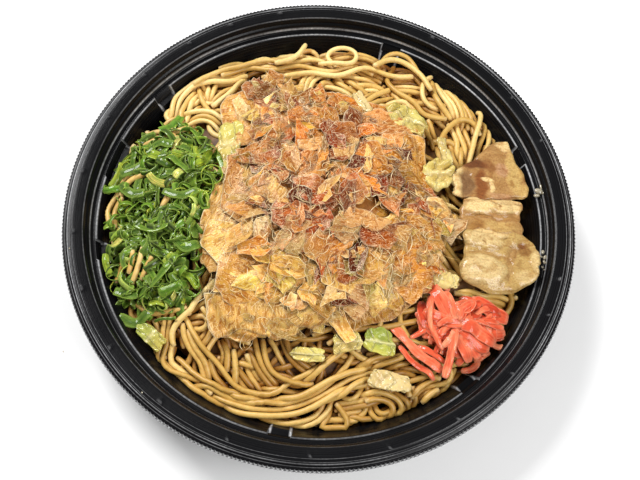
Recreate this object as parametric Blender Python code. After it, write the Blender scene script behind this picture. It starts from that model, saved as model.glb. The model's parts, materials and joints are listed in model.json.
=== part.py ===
"""Fried noodles heaped in a round tray, with their toppings.

Metres, +Z up. The origin is the middle of the tray's underside, +Y points to the far side of the dish.
Every solid is a closed mesh. The noodles lie in the tray, and each topping lies on the noodles.
"""

import math

import bpy
from mathutils import Vector

MM = 0.001

# Tray: radii and heights of its main edges
RIM_RADIUS = 0.105
RIM_EDGE_Z = 0.036
FLOOR_RADIUS = 0.0725
LEDGE_RADIUS = 0.0917
LEDGE_Z = RIM_EDGE_Z - 4.7 * MM
WALL_LEAN = math.radians(30)
WALL = 0.8 * MM
LUG_AZIMUTHS = (22.5, 72.5, 142.5, 193.0, 263.5, 312.5)
LUG_HALF_WIDTH = 3.3
WIDE_LUG_AZIMUTH = 166.3
WIDE_LUG_HALF_WIDTH = 6.0
LUG_FLANK = 1.0
PLAIN_SEGMENTS = 48

# Noodles: a mound that touches the wall low at the near and far sides and higher at the left and right
EDGE_Z = RIM_EDGE_Z - 9.5 * MM
EDGE_SWAY = 1.5 * MM
PEAK_Z = RIM_EDGE_Z + 6.0 * MM
MOUND_RADIUS = 0.088
MOUND_POWER = 2.4
NOODLE_BOTTOM_Z = 2.5 * MM
SIDE_CLEARANCE = 0.6 * MM

# What lies on something keeps this gap to it
SEAT = 0.45 * MM

# Outlines of the heaped toppings, seen from above: radii at equal turns from +X round by +Y
SCALLION_CENTRE = (-0.067, -0.002)
SCALLION_RADII = (23, 26, 36, 40, 34, 26, 22, 25, 34, 42, 40, 21)
SCALLION_DEPTH = 5.0 * MM
FLAKE_CENTRE = (0.003, 0.0)
FLAKE_RADII = (52, 40, 42, 47, 48, 46, 53, 59, 69, 48, 42, 42, 44, 50, 54, 61, 63, 56, 51, 50, 51, 49, 50, 51)
FLAKE_DEPTH = 10.5 * MM
GINGER_CENTRE = (0.057, -0.046)
GINGER_RADII = (19, 23, 14, 13, 16, 18, 21, 19, 17, 15, 14, 15)
GINGER_DEPTH = 6.0 * MM

# Thin pieces: corner points seen from above, in mm, from the near left round against the clock
PORK_CORNERS = {
    "pork_slice_1": ((55, 12.5), (87.5, 14.5), (79.5, 40), (62, 26.5)),
    "pork_slice_2": ((57.5, -6.5), (83, -4.5), (87, 10.8), (59, 8.8)),
    "pork_slice_3": ((58, -28.5), (84.5, -24.5), (88, -8), (59, -9.2)),
}
PORK_THICKNESS = 2.2 * MM
PORK_RIPPLE = 0.9 * MM
CABBAGE_CORNERS = {
    "cabbage_1": ((-43, 17), (-37.5, 18), (-34.5, 38), (-43.5, 38)),
    "cabbage_2": ((16.5, 47), (20, 49), (14, 58), (10.5, 55.5)),
    "cabbage_3": ((30, 43.5), (41.5, 38), (43, 44.5), (27, 52.5)),
    "cabbage_4": ((43.5, 12.5), (53.5, 14), (53, 21.5), (43, 24)),
    "cabbage_5": ((51, 24), (55, 25), (51.5, 35), (48.5, 34)),
    "cabbage_6": ((9, -60), (19, -58), (18, -51.5), (8, -53.5)),
    "cabbage_7": ((21, -58), (32, -60), (30.5, -50), (20, -50)),
    "cabbage_8": ((22, -71), (38, -71.5), (38.5, -66), (23, -65.5)),
    "cabbage_9": ((-59.5, -61.5), (-56.5, -57), (-67, -49.5), (-70, -53)),
    "cabbage_10": ((-8, -62), (5, -63), (5, -59), (-7, -58.5)),
    "cabbage_11": ((49.5, -29.5), (55.5, -29.5), (55, -26), (49, -26)),
}
CABBAGE_THICKNESS = 1.1 * MM
CABBAGE_ARCH = 1.3 * MM

COLOURS = {
    "tray": ((0.012, 0.012, 0.013), 0.3),
    "noodles": ((0.62, 0.40, 0.17), 0.45),
    "scallions": ((0.10, 0.30, 0.04), 0.4),
    "bonito_flakes": ((0.72, 0.42, 0.20), 0.5),
    "red_ginger": ((0.85, 0.20, 0.14), 0.35),
    "pork": ((0.72, 0.52, 0.32), 0.4),
    "cabbage": ((0.72, 0.72, 0.36), 0.4),
}


def clear_scene():
    for item in list(bpy.data.objects):
        bpy.data.objects.remove(item, do_unlink=True)


def food_material(name):
    material = bpy.data.materials.get(name)
    if material is None:
        colour, roughness = COLOURS[name]
        material = bpy.data.materials.new(name)
        material.use_nodes = True
        shader = material.node_tree.nodes["Principled BSDF"]
        shader.inputs["Base Color"].default_value = (*colour, 1.0)
        shader.inputs["Roughness"].default_value = roughness
        shader.inputs["Metallic"].default_value = 0.0
    return material


def add_object(name, vertices, faces, material):
    mesh = bpy.data.meshes.new(name)
    mesh.from_pydata([tuple(v) for v in vertices], [], faces)
    mesh.validate()
    mesh.update()
    mesh.materials.append(food_material(material))
    mesh.shade_smooth()
    mesh.set_sharp_from_angle(angle=math.radians(40))
    item = bpy.data.objects.new(name, mesh)
    bpy.context.scene.collection.objects.link(item)
    return item


def blend(low, high, share):
    return low + (high - low) * share


# ---------------------------------------------------------------- tray


def lug_weight(azimuth):
    """1 inside a stacking lug's recess, 0 on the plain wall."""
    for centre in (*LUG_AZIMUTHS, WIDE_LUG_AZIMUTH):
        half = WIDE_LUG_HALF_WIDTH if centre == WIDE_LUG_AZIMUTH else LUG_HALF_WIDTH
        away = abs((azimuth - centre + 180) % 360 - 180)
        if away <= half:
            return 1.0
    return 0.0


def tray_azimuths():
    """Even turns, with the flanks of each lug put in exactly, in degrees."""
    flanks = []
    for centre in (*LUG_AZIMUTHS, WIDE_LUG_AZIMUTH):
        half = WIDE_LUG_HALF_WIDTH if centre == WIDE_LUG_AZIMUTH else LUG_HALF_WIDTH
        flanks += [centre - half - LUG_FLANK, centre - half, centre + half, centre + half + LUG_FLANK]
    step = 360 / PLAIN_SEGMENTS
    even = [i * step for i in range(PLAIN_SEGMENTS)]
    clear = [a for a in even if all(abs((a - f + 180) % 360 - 180) > 2.0 for f in flanks)]
    return sorted(f % 360 for f in flanks + clear)


def wall_radius(z):
    """Radius of the wall's inner face below the ledge."""
    return LEDGE_RADIUS - (LEDGE_Z - z) * math.tan(WALL_LEAN)


def tray_inside(lug):
    """Inner face from the floor's middle out to the rim's lower edge, as (radius, height)."""
    foot_z = 4.5 * MM
    pocket_z = LEDGE_Z - 3.6 * MM
    shelf_z = LEDGE_Z - 4.1 * MM
    pocket_radius = LEDGE_RADIUS + 2.1 * MM
    edge = RIM_EDGE_Z
    return [
        (52 * MM, WALL + 1.2 * MM),
        (54 * MM, WALL),
        (FLOOR_RADIUS, WALL),
        (FLOOR_RADIUS + 2.0 * MM, 1.9 * MM),
        (wall_radius(foot_z), foot_z),
        (wall_radius(shelf_z), shelf_z),
        (blend(wall_radius(pocket_z), pocket_radius - 0.2 * MM, lug), pocket_z),
        (blend(LEDGE_RADIUS, pocket_radius, lug), blend(LEDGE_Z, LEDGE_Z - 0.3 * MM, lug)),
        (94.2 * MM, edge - 4.3 * MM),
        (94.7 * MM, edge - 2.0 * MM),
        (95.8 * MM, edge - 0.9 * MM),
        (95.4 * MM, edge - 0.1 * MM),
        (96.4 * MM, edge + 2.0 * MM),
        (100.4 * MM, edge + 2.6 * MM),
        (100.8 * MM, edge + 2.1 * MM),
        (102.5 * MM, edge + 1.8 * MM),
        (102.9 * MM, edge + 1.2 * MM),
        (104.0 * MM, edge + 0.8 * MM),
        (RIM_RADIUS, edge - 2.2 * MM),
    ]


def tray_outside(lug):
    """Outer face from the rim's lower edge back to the underside's middle, as (radius, height)."""
    edge = RIM_EDGE_Z
    slant = WALL / math.cos(WALL_LEAN)
    shelf_z = LEDGE_Z - 4.6 * MM
    pocket_z = LEDGE_Z - 4.1 * MM
    pocket_radius = LEDGE_RADIUS + 3.0 * MM
    foot_z = 4.0 * MM
    return [
        (RIM_RADIUS - WALL, edge - 2.2 * MM),
        (103.1 * MM, edge + 0.1 * MM),
        (100.2 * MM, edge + 1.4 * MM),
        (97.2 * MM, edge + 0.9 * MM),
        (96.6 * MM, edge - 0.9 * MM),
        (95.1 * MM, edge - 5.1 * MM),
        (blend(LEDGE_RADIUS + slant, pocket_radius, lug), LEDGE_Z - 0.7 * MM),
        (blend(wall_radius(pocket_z) + slant, pocket_radius - 0.2 * MM, lug), blend(pocket_z, shelf_z, lug)),
        (wall_radius(shelf_z) + slant - 0.2 * MM, shelf_z - 0.9 * MM),
        (wall_radius(foot_z) + slant, foot_z),
        (FLOOR_RADIUS + 2.4 * MM, 1.1 * MM),
        (FLOOR_RADIUS + 0.2 * MM, 0.0),
        (53.2 * MM, 0.0),
        (51.4 * MM, 1.2 * MM),
    ]


def make_tray():
    azimuths = tray_azimuths()
    vertices = []
    for azimuth in azimuths:
        lug = lug_weight(azimuth)
        angle = math.radians(azimuth)
        for radius, height in tray_inside(lug) + tray_outside(lug):
            vertices.append((radius * math.cos(angle), radius * math.sin(angle), height))
    per_turn = len(vertices) // len(azimuths)
    top_middle = len(vertices)
    under_middle = top_middle + 1
    vertices += [(0, 0, WALL + 1.2 * MM), (0, 0, 1.2 * MM)]
    faces = []
    for i in range(len(azimuths)):
        here = i * per_turn
        there = (i + 1) % len(azimuths) * per_turn
        for k in range(per_turn - 1):
            faces.append((here + k, here + k + 1, there + k + 1, there + k))
        faces.append((top_middle, here, there))
        faces.append((under_middle, there + per_turn - 1, here + per_turn - 1))
    return add_object("tray", vertices, faces, "tray")


# ---------------------------------------------------------------- noodles


def mound_height(x, y):
    """Height of the noodles' top at a place seen from above."""
    radius = math.hypot(x, y)
    azimuth = math.atan2(y, x)
    edge = EDGE_Z + EDGE_SWAY * math.cos(2 * azimuth)
    share = min(radius / MOUND_RADIUS, 1.0) ** MOUND_POWER
    lumps = 0.6 * MM * math.sin(x / 0.014 + 1.0) * math.sin(y / 0.016)
    lumps += 0.7 * MM * math.sin((x + y) / 0.019 + 2.0)
    return blend(PEAK_Z, edge, share) + lumps * (1 - share)


def keep_off_wall(x, y):
    """The place itself, or the nearest one inward that a topping on the noodles can reach."""
    reach = wall_radius(mound_height(x, y) + SEAT) - SIDE_CLEARANCE
    inward = min(1.0, reach / math.hypot(x, y, MM))
    return x * inward, y * inward


def noodle_outline(azimuth):
    """Radius and height where the uneven edge of the noodles ends at the wall."""
    edge_z = EDGE_Z + EDGE_SWAY * math.cos(2 * azimuth)
    uneven = 0.9 * MM * (1 + math.sin(7 * azimuth + 0.5)) + 0.6 * MM * (1 + math.sin(11 * azimuth))
    return wall_radius(edge_z) - SIDE_CLEARANCE - uneven, edge_z


def make_noodles():
    turns = 48
    top_rings = 9
    side_rings = 2
    vertices = [(0, 0, mound_height(0, 0))]
    for ring in range(1, top_rings + 1):
        for i in range(turns):
            azimuth = 2 * math.pi * i / turns
            radius = noodle_outline(azimuth)[0] * ring / top_rings
            x = radius * math.cos(azimuth)
            y = radius * math.sin(azimuth)
            vertices.append((x, y, mound_height(x, y)))
    for ring in range(1, side_rings + 1):
        share = ring / side_rings
        for i in range(turns):
            azimuth = 2 * math.pi * i / turns
            edge_radius, edge_z = noodle_outline(azimuth)
            clearance = blend(wall_radius(edge_z) - edge_radius, 3 * SIDE_CLEARANCE, share)
            z = blend(edge_z, NOODLE_BOTTOM_Z, share)
            radius = wall_radius(z) - clearance
            vertices.append((radius * math.cos(azimuth), radius * math.sin(azimuth), z))
    bottom = len(vertices)
    vertices.append((0, 0, NOODLE_BOTTOM_Z))
    faces = []
    rings = top_rings + side_rings
    for i in range(turns):
        j = (i + 1) % turns
        faces.append((0, 1 + i, 1 + j))
        for ring in range(rings - 1):
            a = 1 + ring * turns
            b = a + turns
            faces.append((a + i, b + i, b + j, a + j))
        last = 1 + (rings - 1) * turns
        faces.append((bottom, last + j, last + i))
    return add_object("noodles", vertices, faces, "noodles")


# ---------------------------------------------------------------- heaped toppings


def ring_value(values, share):
    """Smooth value of a closed list of radii at a share of the turn."""
    count = len(values)
    place = share % 1.0 * count
    index = int(place)
    t = place - index
    a, b, c, d = (values[(index + k - 1) % count] for k in range(4))
    return b + 0.5 * t * (c - a + t * (2 * a - 5 * b + 4 * c - d + t * (3 * (b - c) + d - a)))


def make_heap(name, centre, radii, depth, turns, rings, roughness):
    """A low heap on the noodles: its outline from the radii, full and uneven on top, thin at the edge."""
    vertices = []
    rim_depth = 0.25 * depth
    for side in ("top", "bottom"):
        for ring in range(rings + 1):
            share = ring / rings
            for i in range(turns if ring else 1):
                turn = i / turns
                wobble = 1 + 0.02 * math.sin(2 * math.pi * turn * 9 + 1)
                radius = share * ring_value(radii, turn) * MM * wobble
                x = centre[0] + radius * math.cos(2 * math.pi * turn)
                y = centre[1] + radius * math.sin(2 * math.pi * turn)
                x, y = keep_off_wall(x, y)
                z = mound_height(x, y) + SEAT
                if side == "top":
                    crown = rim_depth + (depth - rim_depth) * (1 - share**2.2)
                    bumps = math.sin(x / 0.0041 + 1.3) * math.sin(y / 0.0047) + math.sin((x - y) / 0.0083)
                    z += crown + roughness * bumps * (1 - 0.6 * share)
                vertices.append((x, y, z))
    per_side = 1 + rings * turns
    faces = []
    for i in range(turns):
        j = (i + 1) % turns
        faces.append((0, 1 + i, 1 + j))
        faces.append((per_side, per_side + 1 + j, per_side + 1 + i))
        for ring in range(rings - 1):
            a = 1 + ring * turns
            b = a + turns
            faces.append((a + i, b + i, b + j, a + j))
            faces.append((per_side + a + j, per_side + b + j, per_side + b + i, per_side + a + i))
        last = 1 + (rings - 1) * turns
        faces.append((last + i, per_side + last + i, per_side + last + j, last + j))
    return add_object(name, vertices, faces, name)


# ---------------------------------------------------------------- thin pieces


def make_sheet(name, corners, columns, rows, thickness, lift, material):
    """A thin four-cornered piece laid over the noodles. lift(u, v) raises it off them."""
    near_left, near_right, far_right, far_left = (Vector(c) * MM for c in corners)
    vertices = []
    for side in (1, 0):
        for row in range(rows + 1):
            v = row / rows
            for column in range(columns + 1):
                u = column / columns
                bulge = 0.04 * math.sin(math.pi * u) * (2 * v - 1)
                near = near_left.lerp(near_right, u)
                far = far_left.lerp(far_right, u)
                x, y = keep_off_wall(*near.lerp(far, v + bulge))
                z = mound_height(x, y) + SEAT + lift(u, v) + side * thickness
                vertices.append((x, y, z))
    stride = columns + 1
    per_side = stride * (rows + 1)
    faces = []
    for row in range(rows):
        for column in range(columns):
            a = row * stride + column
            b = a + stride
            faces.append((a, a + 1, b + 1, b))
            faces.append((per_side + a, per_side + b, per_side + b + 1, per_side + a + 1))
    border = [c for c in range(columns)]
    border += [r * stride + columns for r in range(rows)]
    border += [rows * stride + c for c in range(columns, 0, -1)]
    border += [r * stride for r in range(rows, 0, -1)]
    for here, there in zip(border, border[1:] + border[:1]):
        faces.append((here, per_side + here, per_side + there, there))
    return add_object(name, vertices, faces, material)


def pork_lift(u, v):
    """Ripples across the slice, with its outer end raised over the tray's ledge."""
    return PORK_RIPPLE * (1 + math.sin(7 * v + 2.5 * u)) + 5.5 * MM * max(u - 0.45, 0.0) ** 1.5


def cabbage_lift(u, v):
    return CABBAGE_ARCH * math.sin(math.pi * u) * math.sin(math.pi * v)


def main():
    clear_scene()
    make_tray()
    make_noodles()
    make_heap("scallions", SCALLION_CENTRE, SCALLION_RADII, SCALLION_DEPTH, 36, 5, 0.5 * MM)
    make_heap("bonito_flakes", FLAKE_CENTRE, FLAKE_RADII, FLAKE_DEPTH, 48, 8, 0.9 * MM)
    make_heap("red_ginger", GINGER_CENTRE, GINGER_RADII, GINGER_DEPTH, 28, 4, 0.4 * MM)
    for name, corners in PORK_CORNERS.items():
        make_sheet(name, corners, 6, 6, PORK_THICKNESS, pork_lift, "pork")
    for name, corners in CABBAGE_CORNERS.items():
        make_sheet(name, corners, 4, 3, CABBAGE_THICKNESS, cabbage_lift, "cabbage")


main()
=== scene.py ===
"""Looks of the yakisoba in its tray: the real noodles, flakes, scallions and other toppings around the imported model.

Every length is in metres in the row frame. Plan places are given in millimetres and multiplied by MM.
"""

import json
import math

import bpy
import numpy as np
from mathutils import Matrix, Vector
from mathutils.bvhtree import BVHTree

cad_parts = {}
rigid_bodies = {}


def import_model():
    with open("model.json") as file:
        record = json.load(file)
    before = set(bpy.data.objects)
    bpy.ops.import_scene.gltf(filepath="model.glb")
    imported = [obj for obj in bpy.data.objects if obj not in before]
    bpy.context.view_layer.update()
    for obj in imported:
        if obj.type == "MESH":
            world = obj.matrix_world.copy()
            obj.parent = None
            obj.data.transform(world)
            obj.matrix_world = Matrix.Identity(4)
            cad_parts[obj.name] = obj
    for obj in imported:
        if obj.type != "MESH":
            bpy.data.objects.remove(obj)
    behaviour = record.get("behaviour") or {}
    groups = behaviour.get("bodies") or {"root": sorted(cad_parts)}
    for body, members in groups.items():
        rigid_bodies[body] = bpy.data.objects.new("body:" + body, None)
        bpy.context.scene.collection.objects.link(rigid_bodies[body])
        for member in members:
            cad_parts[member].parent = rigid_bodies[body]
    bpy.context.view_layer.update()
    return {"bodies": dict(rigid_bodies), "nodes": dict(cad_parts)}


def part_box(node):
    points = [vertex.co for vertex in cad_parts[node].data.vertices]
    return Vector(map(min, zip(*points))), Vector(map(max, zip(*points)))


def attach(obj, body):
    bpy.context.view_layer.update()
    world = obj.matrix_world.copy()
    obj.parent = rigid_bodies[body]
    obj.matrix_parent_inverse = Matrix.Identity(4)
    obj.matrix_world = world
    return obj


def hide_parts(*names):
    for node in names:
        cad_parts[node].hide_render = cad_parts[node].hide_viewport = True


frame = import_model()
MM = 0.001
BODY = "root" if "root" in frame["bodies"] else sorted(frame["bodies"])[0]
RNG = np.random.default_rng(11)

TRAY_LOW, TRAY_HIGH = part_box("tray")
RIM_RADIUS = TRAY_HIGH.x
RIM_EDGE_Z = TRAY_HIGH.z - 2.6 * MM
LEDGE_RADIUS = RIM_RADIUS - 13.3 * MM
LEDGE_Z = RIM_EDGE_Z - 4.7 * MM
WALL_SLOPE = math.tan(math.radians(30))


# ---------------------------------------------------------------- camera, light, floor


def make_camera():
    data = bpy.data.cameras.new("camera")
    data.lens = 50.32
    data.sensor_width = 36.0
    data.clip_start = 0.01
    camera = bpy.data.objects.new("camera", data)
    bpy.context.scene.collection.objects.link(camera)
    distance = 362.2 * MM
    elevation = math.radians(66.28)
    roll = math.radians(3.53)
    back = Vector((0.0, -math.cos(elevation), math.sin(elevation)))
    side = Vector((1.0, 0.0, 0.0))
    up = back.cross(side)
    right = side * math.cos(roll) + up * math.sin(roll)
    above = up * math.cos(roll) - side * math.sin(roll)
    aim = Vector((0.6 * MM, -12.6 * MM, RIM_EDGE_Z))
    camera.matrix_world = Matrix.Translation(aim + back * distance) @ Matrix((right, above, back)).transposed().to_4x4()
    bpy.context.scene.camera = camera


def area_light(name, place, size, power, aim=(0.0, 0.0, 0.03)):
    data = bpy.data.lights.new(name, "AREA")
    data.shape = "RECTANGLE"
    data.size, data.size_y = size
    data.energy = power
    item = bpy.data.objects.new(name, data)
    item.location = place
    item.rotation_euler = (Vector(aim) - Vector(place)).to_track_quat("-Z", "Y").to_euler()
    bpy.context.scene.collection.objects.link(item)


def make_stage():
    world = bpy.data.worlds.new("studio")
    world.use_nodes = True
    world.node_tree.nodes["Background"].inputs[0].default_value = (1.0, 1.0, 1.0, 1.0)
    world.node_tree.nodes["Background"].inputs[1].default_value = 0.20
    bpy.context.scene.world = world
    area_light("key", (-0.50, 0.50, 0.85), (0.46, 0.46), 14.0)
    area_light("fill", (0.45, -0.30, 0.60), (0.40, 0.40), 5.0)
    mesh = bpy.data.meshes.new("floor")
    half = 3.0
    mesh.from_pydata([(-half, -half, 0), (half, -half, 0), (half, half, 0), (-half, half, 0)], [], [(0, 1, 2, 3)])
    mesh.transform(Matrix.Translation((0, 0, -0.05 * MM)))
    floor = bpy.data.objects.new("floor", mesh)
    bpy.context.scene.collection.objects.link(floor)
    material, nodes, links, shader = new_material("floor_paper", 0.8)
    noise = add_noise(nodes, links, 30.0, 3.0)
    ramp = add_ramp(nodes, links, noise, ((0.3, (0.93, 0.93, 0.93)), (0.7, (0.95, 0.95, 0.95))))
    links.new(ramp, shader.inputs["Base Color"])
    mesh.materials.append(material)
    view = bpy.context.scene.view_settings
    view.view_transform = "Standard"
    view.exposure = 0.0


# ---------------------------------------------------------------- node helpers


def new_material(name, roughness):
    material = bpy.data.materials.new(name)
    material.use_nodes = True
    nodes = material.node_tree.nodes
    shader = nodes["Principled BSDF"]
    shader.inputs["Roughness"].default_value = roughness
    return material, nodes, material.node_tree.links, shader


def add_noise(nodes, links, scale, detail, distortion=0.0, stretch=(1.0, 1.0, 1.0)):
    """Factor of a noise in object space, stretched along the axes."""
    place = nodes.new("ShaderNodeTexCoord")
    mapping = nodes.new("ShaderNodeMapping")
    mapping.inputs["Scale"].default_value = stretch
    noise = nodes.new("ShaderNodeTexNoise")
    noise.inputs["Scale"].default_value = scale
    noise.inputs["Detail"].default_value = detail
    noise.inputs["Distortion"].default_value = distortion
    links.new(place.outputs["Object"], mapping.inputs["Vector"])
    links.new(mapping.outputs["Vector"], noise.inputs["Vector"])
    return noise.outputs["Fac"]


def add_ramp(nodes, links, factor, stops):
    ramp = nodes.new("ShaderNodeValToRGB")
    elements = ramp.color_ramp.elements
    while len(elements) < len(stops):
        elements.new(0.5)
    for element, (place, colour) in zip(elements, stops):
        element.position = place
        element.color = (*colour, 1.0)
    links.new(factor, ramp.inputs["Fac"])
    return ramp.outputs["Color"]


def add_attribute(nodes, name):
    attribute = nodes.new("ShaderNodeAttribute")
    attribute.attribute_name = name
    return attribute


def add_mix(nodes, links, factor, first, second, how="MIX"):
    """Mixes two colours. Each of the three is an output or a constant."""
    mix = nodes.new("ShaderNodeMix")
    mix.data_type = "RGBA"
    mix.blend_type = how
    for socket, value in ((mix.inputs[0], factor), (mix.inputs[6], first), (mix.inputs[7], second)):
        if isinstance(value, (float, int)):
            socket.default_value = value
        elif isinstance(value, tuple):
            socket.default_value = (*value, 1.0)
        else:
            links.new(value, socket)
    return mix.outputs[2]


def add_maths(nodes, links, how, first, second):
    maths = nodes.new("ShaderNodeMath")
    maths.operation = how
    for socket, value in zip(maths.inputs, (first, second)):
        if isinstance(value, (float, int)):
            socket.default_value = value
        else:
            links.new(value, socket)
    return maths.outputs[0]


def add_bump(nodes, links, shader, height, strength, distance):
    bump = nodes.new("ShaderNodeBump")
    bump.inputs["Strength"].default_value = strength
    bump.inputs["Distance"].default_value = distance
    links.new(height, bump.inputs["Height"])
    links.new(bump.outputs["Normal"], shader.inputs["Normal"])


def make_translucent(shader, weight, radius, scale):
    shader.inputs["Subsurface Weight"].default_value = weight
    shader.inputs["Subsurface Radius"].default_value = radius
    shader.inputs["Subsurface Scale"].default_value = scale


# ---------------------------------------------------------------- mesh helpers


def make_mesh(name, vertices, faces, material, attributes=None, smooth=True):
    """One object from arrays: faces is an (n, 4) or (n, 3) array, or a list of such arrays."""
    groups = [np.asarray(g, np.int32) for g in (faces if isinstance(faces, list) else [faces])]
    groups = [g for g in groups if len(g)]
    vertices = np.asarray(vertices, np.float32)
    mesh = bpy.data.meshes.new(name)
    mesh.vertices.add(len(vertices))
    mesh.vertices.foreach_set("co", vertices.ravel())
    corners = np.concatenate([g.ravel() for g in groups])
    sizes = np.concatenate([np.full(len(g), g.shape[1], np.int32) for g in groups])
    mesh.loops.add(len(corners))
    mesh.loops.foreach_set("vertex_index", corners)
    mesh.polygons.add(len(sizes))
    starts = np.concatenate([[0], np.cumsum(sizes)[:-1]]).astype(np.int32)
    mesh.polygons.foreach_set("loop_start", starts)
    mesh.update(calc_edges=True)
    mesh.validate()
    if smooth:
        mesh.shade_smooth()
    for key, values in (attributes or {}).items():
        values = np.asarray(values, np.float32)
        if values.ndim == 1:
            mesh.attributes.new(key, "FLOAT", "POINT").data.foreach_set("value", values)
        else:
            layer = mesh.attributes.new(key, "FLOAT_COLOR", "POINT")
            layer.data.foreach_set("color", values.ravel())
    mesh.materials.append(material)
    item = bpy.data.objects.new(name, mesh)
    bpy.context.scene.collection.objects.link(item)
    return item


def place_piece(item, slot, *nodes):
    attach(item, BODY)
    if nodes:
        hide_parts(*nodes)
    return item


def smooth_curve(points, spacing):
    """Even points at about the spacing along a smooth curve through the given ones (Catmull-Rom)."""
    points = np.asarray(points, float)
    if len(points) == 2:
        points = np.array([points[0], points.mean(0), points[1]])
    ends = np.vstack([2 * points[0] - points[1], points, 2 * points[-1] - points[-2]])
    dense = []
    for k in range(len(points) - 1):
        a, b, c, d = ends[k : k + 4]
        t = np.linspace(0, 1, 16, endpoint=False)[:, None]
        dense.append(b + 0.5 * t * (c - a + t * (2 * a - 5 * b + 4 * c - d + t * (3 * (b - c) + d - a))))
    dense = np.vstack([*dense, points[-1:]])
    along = np.concatenate([[0], np.cumsum(np.linalg.norm(np.diff(dense, axis=0), axis=1))])
    count = max(3, int(round(along[-1] / spacing)) + 1)
    even = np.linspace(0, along[-1], count)
    return np.stack([np.interp(even, along, dense[:, k]) for k in range(dense.shape[1])], 1)


def drift(count, reach, size, rng):
    """Smooth random values along a strand: about one change each reach points."""
    knots = max(4, int(count / reach) + 3)
    values = rng.normal(0, size, knots)
    return smooth_curve(np.stack([np.linspace(0, count, knots), values], 1), count / (4.0 * knots))[:, 1][
        np.linspace(0, 4 * knots - 1, count).astype(int)
    ]


def sweep(path, section, sizes):
    """A tube along a path: section is (k, 2) unit points, sizes one or two scales at each path point."""
    path = np.asarray(path, float)
    tangent = np.gradient(path, axis=0)
    tangent /= np.linalg.norm(tangent, axis=1, keepdims=True) + 1e-12
    side = np.cross(tangent[0], (0.0, 0.0, 1.0))
    if np.linalg.norm(side) < 1e-3:
        side = np.array((1.0, 0.0, 0.0))
    sides = []
    for direction in tangent:
        side = side - direction * np.dot(side, direction)
        side /= np.linalg.norm(side) + 1e-12
        sides.append(side)
    sides = np.array(sides)
    above = np.cross(sides, tangent)
    sizes = np.asarray(sizes, float)
    if sizes.ndim == 1:
        sizes = np.stack([sizes, sizes], 1)
    return (
        path[:, None]
        + sides[:, None] * (section[None, :, 0:1] * sizes[:, 0, None, None])
        + above[:, None] * (section[None, :, 1:2] * sizes[:, 1, None, None])
    )


def tube_faces(rings, around, first):
    """Quads between the rings of a tube, and a fan at each end over one extra vertex each."""
    ring = np.arange(rings - 1)[:, None]
    k = np.arange(around)[None]
    a = first + ring * around + k
    b = first + ring * around + (k + 1) % around
    quads = np.stack([a, b, b + around, a + around], -1).reshape(-1, 4)
    k = np.arange(around)
    start = first + rings * around
    last = first + (rings - 1) * around
    caps = [
        np.stack([np.full(around, start), first + (k + 1) % around, first + k], 1),
        np.stack([np.full(around, start + 1), last + k, last + (k + 1) % around], 1),
    ]
    return quads, np.vstack(caps)


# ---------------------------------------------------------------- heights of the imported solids


class TopSurface:
    """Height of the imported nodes' top at any plan place, read from their meshes once as a grid and carried on outside."""

    def __init__(self, *names, pitch=1.0 * MM):
        self.pitch = pitch
        self.half = 100 * MM
        count = int(2 * self.half / pitch) + 1
        self.grid = np.full((count, count), -1.0)
        for name in names:
            mesh = frame["nodes"][name].data
            places = np.array([v.co for v in mesh.vertices])
            tree = BVHTree.FromPolygons(places.tolist(), [p.vertices for p in mesh.polygons])
            low = np.floor((places.min(0)[:2] + self.half) / pitch).astype(int)
            high = np.ceil((places.max(0)[:2] + self.half) / pitch).astype(int) + 1
            for row in range(max(low[1], 0), min(high[1], count)):
                for column in range(max(low[0], 0), min(high[0], count)):
                    hit = tree.ray_cast((column * pitch - self.half, row * pitch - self.half, 0.2), (0, 0, -1))[0]
                    if hit is not None:
                        self.grid[row, column] = max(hit.z, self.grid[row, column])
        self.covered = self.grid > 0
        known = self.covered.copy()
        while not known.all():
            total, hits = np.zeros_like(self.grid), np.zeros_like(self.grid)
            for shift, axis in ((1, 0), (-1, 0), (1, 1), (-1, 1)):
                total += np.roll(np.where(known, self.grid, 0.0), shift, axis)
                hits += np.roll(known, shift, axis)
            fresh = ~known & (hits > 0)
            self.grid[fresh] = total[fresh] / hits[fresh]
            known |= fresh

    def over(self, x, y):
        """Whether plan places are over the nodes."""
        column = np.clip(np.round((np.asarray(x) + self.half) / self.pitch).astype(int), 0, len(self.grid) - 1)
        row = np.clip(np.round((np.asarray(y) + self.half) / self.pitch).astype(int), 0, len(self.grid) - 1)
        return self.covered[row, column]

    def at(self, x, y):
        count = len(self.grid)
        u = np.clip((np.asarray(x) + self.half) / self.pitch, 0, count - 1.001)
        v = np.clip((np.asarray(y) + self.half) / self.pitch, 0, count - 1.001)
        column, row = u.astype(int), v.astype(int)
        fu, fv = u - column, v - row
        low = self.grid[row, column] * (1 - fu) + self.grid[row, column + 1] * fu
        high = self.grid[row + 1, column] * (1 - fu) + self.grid[row + 1, column + 1] * fu
        return low * (1 - fv) + high * fv


def wall_radius(z):
    """Radius of the tray's inner wall below the ledge."""
    return LEDGE_RADIUS - (LEDGE_Z - np.asarray(z)) * WALL_SLOPE


# ---------------------------------------------------------------- tray

KNURLS = 393
LUG_AZIMUTHS = (22.5, 72.5, 142.5, 193.0, 263.5, 312.5)
LUG_HALF_WIDTH = 2.6
WIDE_LUG_AZIMUTH = 166.3
WIDE_LUG_HALF_WIDTH = 5.6
NIB_AZIMUTHS = (23, 36.6, 63, 77, 103.8, 117, 128.8, 143.4, 158, 173.8, 189.7, 204, 220, 236.6, 253.4, 271, 288,
                304, 320, 336.6, 346)


# Radius, height over the rim's lower edge line and strength of the thin painted highlights along the rim's edges, in mm
RIM_GLINTS = (
    (91.7, -4.8, 0.9), (94.3, -3.9, 1.0), (96.3, 1.95, 0.35), (100.45, 2.55, 0.8), (101.65, 2.0, 0.9), (102.5, 1.55, 0.9),
    (103.3, 1.02, 0.8),
)


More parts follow.
